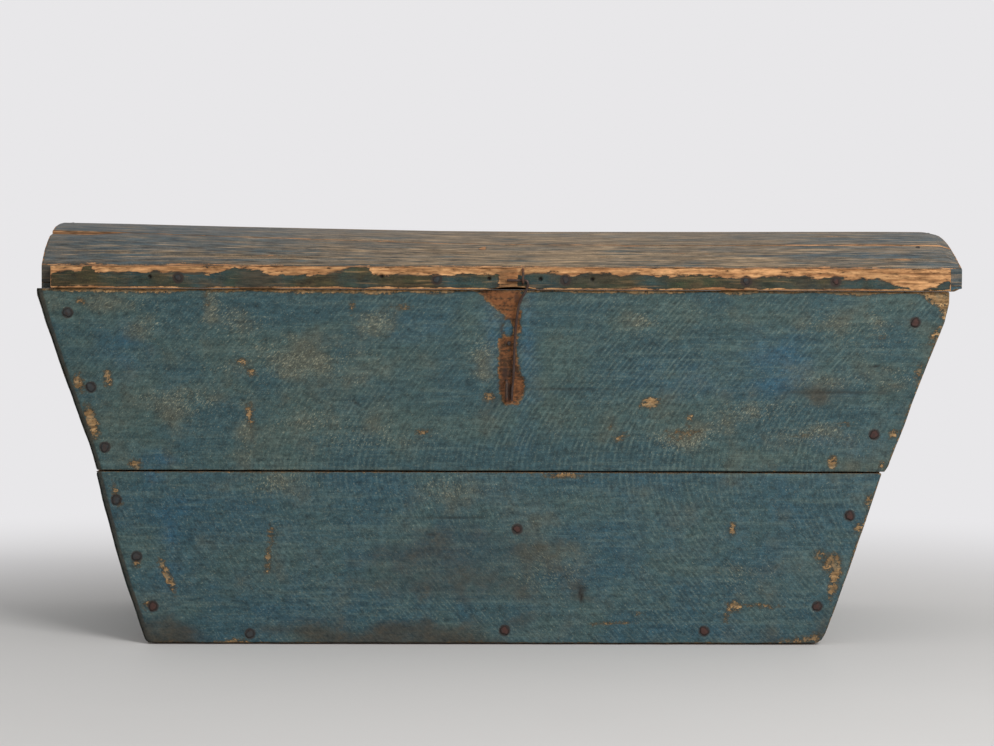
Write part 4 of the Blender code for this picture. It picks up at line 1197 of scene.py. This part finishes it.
class Nodes:
    """Short way to write a material's nodes. Textures run in object space, in metres."""

    def __init__(self, name):
        self.material = bpy.data.materials.new(name)
        self.material.use_nodes = True
        self.tree = self.material.node_tree
        self.shader = self.tree.nodes["Principled BSDF"]
        self.place = self.put("TexCoord", output="Object")
        split = self.new("SeparateXYZ")
        self.link(self.place, split.inputs[0])
        self.x, self.y, self.z = split.outputs

    def new(self, kind):
        return self.tree.nodes.new("ShaderNode" + kind)

    def link(self, value, socket):
        if isinstance(value, bpy.types.NodeSocket):
            self.tree.links.new(value, socket)
        elif isinstance(value, tuple) and socket.type == "RGBA":
            socket.default_value = (*value, 1)
        else:
            socket.default_value = value

    def put(self, kind, inputs=(), output=0, **settings):
        """One output of a new node with the given settings and (name or number, value) inputs."""
        node = self.new(kind)
        for key, value in settings.items():
            setattr(node, key, value)
        for key, value in inputs:
            self.link(value, node.inputs[key])
        return node.outputs[output]

    def math(self, operation, *values):
        return self.put("Math", enumerate(values), operation=operation)

    def add(self, *values):
        total = values[0]
        for value in values[1:]:
            total = self.math("ADD", total, value)
        return total

    def times(self, *values):
        total = values[0]
        for value in values[1:]:
            total = self.math("MULTIPLY", total, value)
        return total

    def flip(self, value):
        return self.math("SUBTRACT", 1.0, value)

    def about(self, value, gain):
        """A noise's distance from its middle, times a gain."""
        return self.times(self.add(value, -0.5), gain)

    def vector(self, x, y, z):
        return self.put("CombineXYZ", enumerate((x, y, z)))

    def noise(self, scale, detail=3.0, stretch=None, place=None, grit=0.5, shift=0.0):
        place = place or self.place
        if stretch or shift:
            moved = (("Vector", place), ("Scale", stretch or (1, 1, 1)), ("Location", (shift, shift, shift)))
            place = self.put("Mapping", moved)
        inputs = (("Vector", place), ("Scale", scale), ("Detail", detail), ("Roughness", grit))
        return self.put("TexNoise", inputs)

    def cells(self, scale):
        """Distance to the nearest of some scattered points."""
        return self.put("TexVoronoi", (("Vector", self.place), ("Scale", scale)), "Distance")

    def spread(self, value, low, high):
        """Smooth step from 0 at low to 1 at high."""
        inputs = (("Value", value), ("From Min", low), ("From Max", high))
        return self.put("MapRange", inputs, interpolation_type="SMOOTHSTEP")

    def ramp(self, value, low, high, start):
        """Smooth step from start at low to 1 at high."""
        return self.add(start, self.times(self.spread(value, low, high), 1 - start))

    def mix(self, share, first, second):
        return self.put("Mix", ((0, share), (6, first), (7, second)), 2, data_type="RGBA")

    def cover(self, under, over, pattern, blend, *limits):
        """Lay one colour over another where a pattern is strong."""
        shares = (self.spread(pattern, blend.low, blend.high), *limits, blend.share)
        return self.mix(self.times(*shares), under, over)

    def scaled(self, colour, share):
        return self.put("VectorMath", ((0, colour), ("Scale", share)), operation="SCALE")

    def attribute(self, name):
        return self.put("Attribute", output="Fac", attribute_name=name)

    def bump(self, height, distance, strength):
        inputs = (("Distance", distance), ("Strength", strength), ("Height", height))
        self.link(self.put("Bump", inputs), self.shader.inputs["Normal"])

    def finish(self, colour, roughness, gloss=0.5):
        self.shader.inputs["Specular IOR Level"].default_value = gloss
        self.link(colour, self.shader.inputs["Base Color"])
        self.link(roughness, self.shader.inputs["Roughness"])
        return self.material


MARK_NAMES = ("worn", "ghost", "rub", "grime", "fresh", "rust", "cut", "raw", "butt", "board")
# Colours, strength of the saw marks, then the patterns: streak and stretch squeeze them across the grain,
# and length is the fibres' scale. rub says where rubbed paint shows, and rub_gain how far a rub mark adds
# to it. dirt is the share of dirt on bare wood, and coarse and gritty are how uneven the tone is.
Look = namedtuple("Look", (
    "deep mid pale fresh tint rubbed bare bare_dark edge "
    "saw streak length stretch rub rub_gain dirt coarse gritty"
))
WALL_LOOK = Look(
    deep=srgb(46, 72, 78), mid=srgb(60, 80, 78), pale=srgb(91, 107, 101), fresh=srgb(34, 79, 103),
    tint=srgb(80, 80, 68), rubbed=srgb(143, 142, 120), bare=srgb(178, 142, 99), bare_dark=srgb(111, 86, 56),
    edge=srgb(62, 57, 44), saw=1.0, streak=1.6, length=14, stretch=16,
    rub=Blend(0.62, 0.75, 0.66), rub_gain=0.13, dirt=0.70, coarse=1.5, gritty=1.4,
)
END_LOOK = WALL_LOOK._replace(saw=0.5)
LID_LOOK = Look(
    deep=srgb(72, 78, 76), mid=srgb(91, 82, 71), pale=srgb(116, 103, 86), fresh=srgb(61, 78, 86),
    tint=srgb(102, 88, 70), rubbed=srgb(160, 135, 104), bare=srgb(190, 142, 100), bare_dark=srgb(130, 92, 62),
    edge=srgb(66, 59, 48), saw=0.0, streak=12.0, length=10.0, stretch=36,
    rub=Blend(0.54, 0.70, 0.75), rub_gain=0.10, dirt=0.35, coarse=1.2, gritty=3.0,
)
STRIP_LOOK = Look(
    deep=srgb(54, 47, 27), mid=srgb(43, 54, 35), pale=srgb(67, 62, 38), fresh=srgb(23, 64, 70),
    tint=srgb(74, 58, 37), rubbed=srgb(140, 110, 74), bare=srgb(206, 156, 107), bare_dark=srgb(158, 109, 69),
    edge=srgb(42, 34, 26), saw=0.0, streak=6.0, length=12, stretch=22,
    rub=Blend(0.60, 0.73, 0.50), rub_gain=0.12, dirt=0.50, coarse=2.0, gritty=2.2,
)
GHOST_WOOD = srgb(116, 71, 40)
GHOST_DARK = srgb(54, 33, 20)
RAW_PALE = srgb(172, 134, 94)
RAW_DARK = srgb(116, 82, 52)
DIRT_AND_SHADE_TONE = srgb(59, 53, 43)
RUST = srgb(46, 35, 31)
CUT_SHADE = srgb(24, 19, 17)
KNOT = srgb(78, 48, 30)
KNOT_SCALE = 6.0
KNOT_SIZE = (0.04, 0.10)
RING_PITCH = 0.014
RING_SWAY = 42.0
# Where each pattern starts and ends to show, and how strongly
FADED = Blend(0.0, 0.75, 0.8)
PALE_FIBRE = Blend(0.45, 0.74, 0.42)
DARK_FIBRE = Blend(0.50, 0.74, 0.25)
DARK_PITS = Blend(0.54, 0.70, 0.40)
PALE_PITS = Blend(0.56, 0.72, 0.28)
DARK_SPECKS = Blend(0.56, 0.74, 0.20)
CHIP_RIM = Blend(0.18, 0.46, 0.75)
CHIP = (0.46, 0.62)
WOOD_SPECKS = Blend(0.47, 0.66, 0.75)
RAW_RINGS = Blend(-0.3, 1.0, 0.62)
RAW_FIBRE = Blend(0.40, 0.72, 0.55)
RAW_SOIL = Blend(0.42, 0.66, 0.45)
RUSTED = Blend(0.30, 0.80, 0.85)
IRON_GRIT = Blend(0.5, 0.75, 0.4)
NAIL_RIM = Blend(0.55, 0.95, 0.75)
FLOOR_CLOUDS = Blend(0.4, 0.7, 0.06)


def saw_marks(n, look, grain, speck):
    """Arcs of the saw: their wave, where they show, their ridges, and dashes and strokes along them."""
    rise = n.math("SUBTRACT", n.z, SAW_JOINT)
    lean = n.math("SQRT", n.add(n.times(rise, rise), SAW_BEND ** 2))
    run, depth = (n.y, n.x) if grain == "Y" else (n.x, n.y)
    phase = n.add(n.times(n.math("SUBTRACT", run, lean), 1 / SAW_PITCH), n.noise(16, 2))

    def arcs(close, fine, grit=0.5):
        place = n.vector(n.times(phase, close), n.times(rise, fine), n.times(depth, fine))
        return n.noise(1, 3, place=place, grit=grit)

    wave = n.add(0.5, n.times(0.5, n.math("SINE", n.times(phase, 2 * math.pi))))
    broken = n.spread(arcs(0.9, 42), 0.36, 0.62)
    zone = n.times(n.spread(n.noise(7, 3, shift=1.3), 0.32, 0.56), broken, look.saw)
    zone = n.times(zone, n.ramp(run, -0.45, 0.05, start=0.45), n.ramp(rise, -0.03, 0.03, start=0.68))
    ridges = n.times(n.math("POWER", wave, 2.0), zone, n.spread(speck, 0.26, 0.52))
    return wave, zone, ridges, arcs(4.9, 360, grit=0.6), arcs(3.2, 190, grit=0.6)


def painted_wood(name, look, grain):
    """Old paint over sawn pine, worn by the piece's own attributes."""
    n = Nodes(name)
    worn, ghost, rub, grime, fresh, rust, cut, raw, butt, board = map(n.attribute, MARK_NAMES)

    def across(amount):
        """Scales that squeeze a pattern across the grain."""
        return tuple(1 if axis == grain else amount for axis in "XYZ")

    # Patterns, from long fibres to fine pits. calm keeps them faint on end grain
    calm = n.flip(n.times(butt, 0.8))
    fibre = n.noise(look.length, 6, across(look.stretch), grit=0.62)
    streaks = n.noise(look.length * 1.3, 5, across(look.stretch), grit=0.6, shift=5.5)
    broad = n.noise(10, 5, across(look.streak), shift=3.1)
    blotch = n.noise(30, 4, shift=7.7)
    drawn = look.streak ** 0.75
    mottle = n.noise(110 / drawn, 4, across(drawn), grit=0.65, shift=9.4)
    speck = n.noise(290 / drawn, 4, across(drawn), grit=0.65, shift=2.2)
    fine = n.noise(640, 3, grit=0.6)
    wave, zone, ridges, dash, stroke = saw_marks(n, look, grain, speck)

    # Paint: bluer, faded, sawn and rubbed places
    dark = darker(look.deep, 0.40)
    paint = n.mix(n.spread(broad, 0.38, 0.62), look.deep, look.mid)
    paint = n.mix(n.times(fresh, n.ramp(blotch, 0.36, 0.60, start=0.35)), paint, look.fresh)
    faded = n.add(n.times(rub, 0.5), n.about(blotch, 1.6), n.about(broad, 1.2))
    paint = n.cover(paint, look.tint, faded, FADED)
    paint = n.cover(paint, look.pale, fibre, PALE_FIBRE, calm)
    paint = n.cover(paint, dark, n.flip(fibre), DARK_FIBRE, calm)
    paint = n.mix(n.times(ridges, 0.48), paint, look.pale)
    paint = n.mix(n.times(n.flip(wave), zone, 0.33), paint, dark)
    rubbing = n.add(streaks if look.saw == 0 else dash, n.times(rub, look.rub_gain))
    paint = n.cover(paint, look.rubbed, rubbing, look.rub, calm)
    paint = n.cover(paint, dark, fine, DARK_PITS)
    paint = n.cover(paint, look.rubbed, n.flip(fine), PALE_PITS)
    paint = n.cover(paint, dark, speck, DARK_SPECKS)

    # Chips through the paint, to old wood that is stained where the hasp was
    broken = n.add(n.about(speck, 2.0), n.about(fine, 1.0), n.about(fibre, 0.9))
    chipped = n.add(worn, n.times(broken, n.add(0.48, n.times(worn, 0.67))))
    # Dark rim round the chips: painted shade under the paint's broken edge, and dirt
    paint = n.cover(paint, look.edge, chipped, CHIP_RIM)
    bare = n.spread(chipped, *CHIP)
    wood = n.mix(n.spread(fibre, 0.34, 0.66), look.bare, look.bare_dark)
    wood = n.cover(wood, look.bare_dark, n.flip(speck), WOOD_SPECKS)
    wood = n.mix(n.times(n.spread(mottle, 0.44, 0.62), look.dirt), wood, look.tint)
    colour = n.mix(bare, paint, wood)
    stained = n.add(n.times(blotch, 0.30), n.times(fibre, 0.40), n.times(speck, 0.30))
    stain = n.mix(n.spread(stained, 0.45, 0.58), GHOST_DARK, GHOST_WOOD)
    colour = n.mix(n.times(ghost, bare, 0.92), colour, stain)

    # Raw pine where there never was paint: year rings, fibres, knots and soil
    first, second = [side for axis, side in zip("XYZ", (n.x, n.y, n.z)) if axis != grain]
    own = n.vector(n.add(n.x, board), n.add(n.y, board), n.add(n.z, board))
    sway = n.times(n.noise(2.2, 3, across(5), own, shift=6.3), RING_SWAY)
    rings = n.math("SINE", n.add(n.times(n.add(first, second), 2 * math.pi / RING_PITCH), sway))
    pine = n.cover(RAW_PALE, RAW_DARK, rings, RAW_RINGS)
    pine = n.cover(pine, RAW_DARK, fibre, RAW_FIBRE)
    pine = n.mix(n.flip(n.spread(n.cells(KNOT_SCALE), *KNOT_SIZE)), pine, KNOT)
    pine = n.cover(pine, DIRT_AND_SHADE_TONE, n.add(n.times(broad, 0.6), n.times(blotch, 0.4)), RAW_SOIL)
    colour = n.mix(raw, colour, pine)

    # Dirt and painted shade, unevenness, rust and cuts over all; cuts are painted near-black as the shade in
    # them
    dirtied_and_shaded = n.spread(n.add(grime, n.about(blotch, 0.9), n.about(speck, 0.6)), 0.20, 0.90)
    colour = n.mix(n.times(dirtied_and_shaded, n.add(0.45, n.times(mottle, 0.7))), colour, DIRT_AND_SHADE_TONE)
    uneven = n.add(n.about(mottle, look.coarse), n.about(speck, look.gritty), n.about(stroke, 1.1 * look.saw))
    uneven = n.times(uneven, calm, n.flip(n.times(raw, 0.6)))
    colour = n.scaled(colour, n.add(1.0, uneven))
    colour = n.cover(colour, RUST, n.add(rust, n.about(speck, 0.6)), RUSTED)
    # Cuts and holes painted near-black: painted shade inside them
    colour = n.mix(cut, colour, CUT_SHADE)

    film = n.times(n.flip(bare), n.flip(raw))
    height = n.add(n.times(ridges, film, 0.3), n.times(film, 0.45))
    height = n.add(height, n.times(fibre, -0.9), n.times(fine, -0.35))
    n.bump(height, distance=0.0008, strength=0.8)
    roughness = n.add(0.80, n.times(film, -0.20), n.times(fine, 0.08))
    return n.finish(colour, roughness, gloss=0.25)


def iron(name, dark, rusty, metal, rust_share, dull=0.42):
    """Forged iron, dark with rust in patches and a dull shine where it is rubbed."""
    n = Nodes(name)
    patch = n.noise(150, 5)
    grit = n.noise(900, 3)
    share = n.spread(n.add(patch, n.times(grit, 0.25)), 0.72 - rust_share, 0.92 - rust_share)
    colour = n.mix(share, dark, rusty)
    colour = n.cover(colour, darker(dark, 0.5), grit, IRON_GRIT)
    colour = n.cover(colour, darker(dark, 0.25), n.attribute("rim"), NAIL_RIM)
    if metal:
        n.link(n.times(n.flip(share), metal), n.shader.inputs["Metallic"])
    n.bump(n.add(patch, n.times(grit, 0.5)), distance=0.0006, strength=0.6)
    return n.finish(colour, n.add(dull, n.times(share, 0.82 - dull)), gloss=0.30)


# The object

wall_paint = painted_wood("painted_wall", WALL_LOOK, "X")
end_paint = painted_wood("painted_end", END_LOOK, "Y")
lid_paint = painted_wood("painted_lid", LID_LOOK, "X")
strip_paint = painted_wood("painted_strip", STRIP_LOOK, "X")
upright_pine = painted_wood("upright_pine", WALL_LOOK, "Z")
forged_iron = iron("forged_iron", srgb(74, 64, 58), srgb(92, 60, 44), 0.75, 0.20)
wire_iron = iron("wire_iron", srgb(72, 60, 55), srgb(60, 43, 37), 0.45, 0.24)
nail_iron = iron("nail_iron", srgb(50, 53, 54), srgb(57, 49, 46), 0.0, 0.20, dull=0.72)
red_nail_iron = iron("red_nail_iron", srgb(52, 42, 39), srgb(70, 47, 42), 0.0, 0.28, dull=0.72)

make_front(wall_paint)
make_back(wall_paint)
make_ends(end_paint)
make_bottom(wall_paint)
make_batten(upright_pine)
make_staves(lid_paint)
make_strip(strip_paint)
make_rail(strip_paint)
make_cleats(end_paint)
make_ironwork(forged_iron, wire_iron)
make_nails(nail_iron, red_nail_iron)
make_hidden_nails(nail_iron)


# Stage, light and camera

FLOOR_TONE = srgb(204, 202, 200)
WALL_TONE = srgb(232, 231, 233)


def seen_directly(tree):
    """1 for rays from the camera, from gloss and through glass."""
    path = tree.nodes.new("ShaderNodeLightPath")
    total = path.outputs["Is Camera Ray"]
    for name in ("Is Glossy Ray", "Is Transmission Ray"):
        node = tree.nodes.new("ShaderNodeMath")
        node.operation = "MAXIMUM"
        tree.links.new(total, node.inputs[0])
        tree.links.new(path.outputs[name], node.inputs[1])
        total = node.outputs[0]
    return total


def make_floor():
    """Floor that melts into the backdrop's tone away from the object."""
    corners = [(x * FLOOR_REACH, y * FLOOR_REACH, 0) for x, y in ((-1, -1), (1, -1), (1, 1), (-1, 1))]
    mesh = bpy.data.meshes.new("floor")
    mesh.from_pydata(corners, [], [(0, 1, 2, 3)])
    floor = linked("floor", mesh)
    n = Nodes("pale_floor")
    n.finish(n.cover(FLOOR_TONE, darker(FLOOR_TONE, 0.8), n.noise(3, 4), FLOOR_CLOUDS), 0.75)
    ahead = n.math("SUBTRACT", n.y, FLOOR_CENTRE)
    reach = n.math("SQRT", n.add(n.times(n.x, n.x), n.times(ahead, ahead)))
    glow = n.new("Emission")
    glow.inputs["Color"].default_value = (*WALL_TONE, 1)
    melt = n.new("MixShader")
    n.link(n.times(n.spread(reach, *FLOOR_MELT), seen_directly(n.tree)), melt.inputs[0])
    n.link(n.shader.outputs[0], melt.inputs[1])
    n.link(glow.outputs[0], melt.inputs[2])
    n.link(melt.outputs[0], n.tree.nodes["Material Output"].inputs["Surface"])
    mesh.materials.append(n.material)


def make_world():
    world = bpy.data.worlds.new("studio")
    world.use_nodes = True
    tree = world.node_tree
    ground = tree.nodes["Background"]
    ground.inputs["Color"].default_value = (1, 1, 1, 1)
    ground.inputs["Strength"].default_value = WORLD_LIGHT
    seen = tree.nodes.new("ShaderNodeBackground")
    seen.inputs["Color"].default_value = (*WALL_TONE, 1)
    choose = tree.nodes.new("ShaderNodeMixShader")
    tree.links.new(seen_directly(tree), choose.inputs[0])
    tree.links.new(ground.outputs[0], choose.inputs[1])
    tree.links.new(seen.outputs[0], choose.inputs[2])
    tree.links.new(choose.outputs[0], tree.nodes["World Output"].inputs["Surface"])
    bpy.context.scene.world = world


def make_key():
    lamp = bpy.data.lights.new("key", "AREA")
    lamp.energy = KEY_POWER
    lamp.size = KEY_SIZE
    key = linked("key", lamp)
    key.location = KEY_PLACE
    aim = Vector(KEY_AIM) - Vector(KEY_PLACE)
    key.rotation_euler = aim.to_track_quat("-Z", "Y").to_euler()


def make_camera():
    lens = bpy.data.cameras.new("camera")
    lens.lens = CAMERA_LENS
    lens.sensor_width = CAMERA_SENSOR
    lens.sensor_fit = "HORIZONTAL"
    camera = linked("camera", lens)
    turn = Matrix.Rotation(-CAMERA_YAW, 4, "Z")
    turn @= Matrix.Rotation(math.pi / 2 - CAMERA_PITCH, 4, "X")
    turn @= Matrix.Rotation(CAMERA_ROLL, 4, "Z")
    camera.matrix_world = Matrix.Translation(CAMERA_PLACE) @ turn
    bpy.context.scene.camera = camera


make_floor()
make_world()
make_key()
make_camera()
bpy.context.scene.view_settings.view_transform = "Standard"
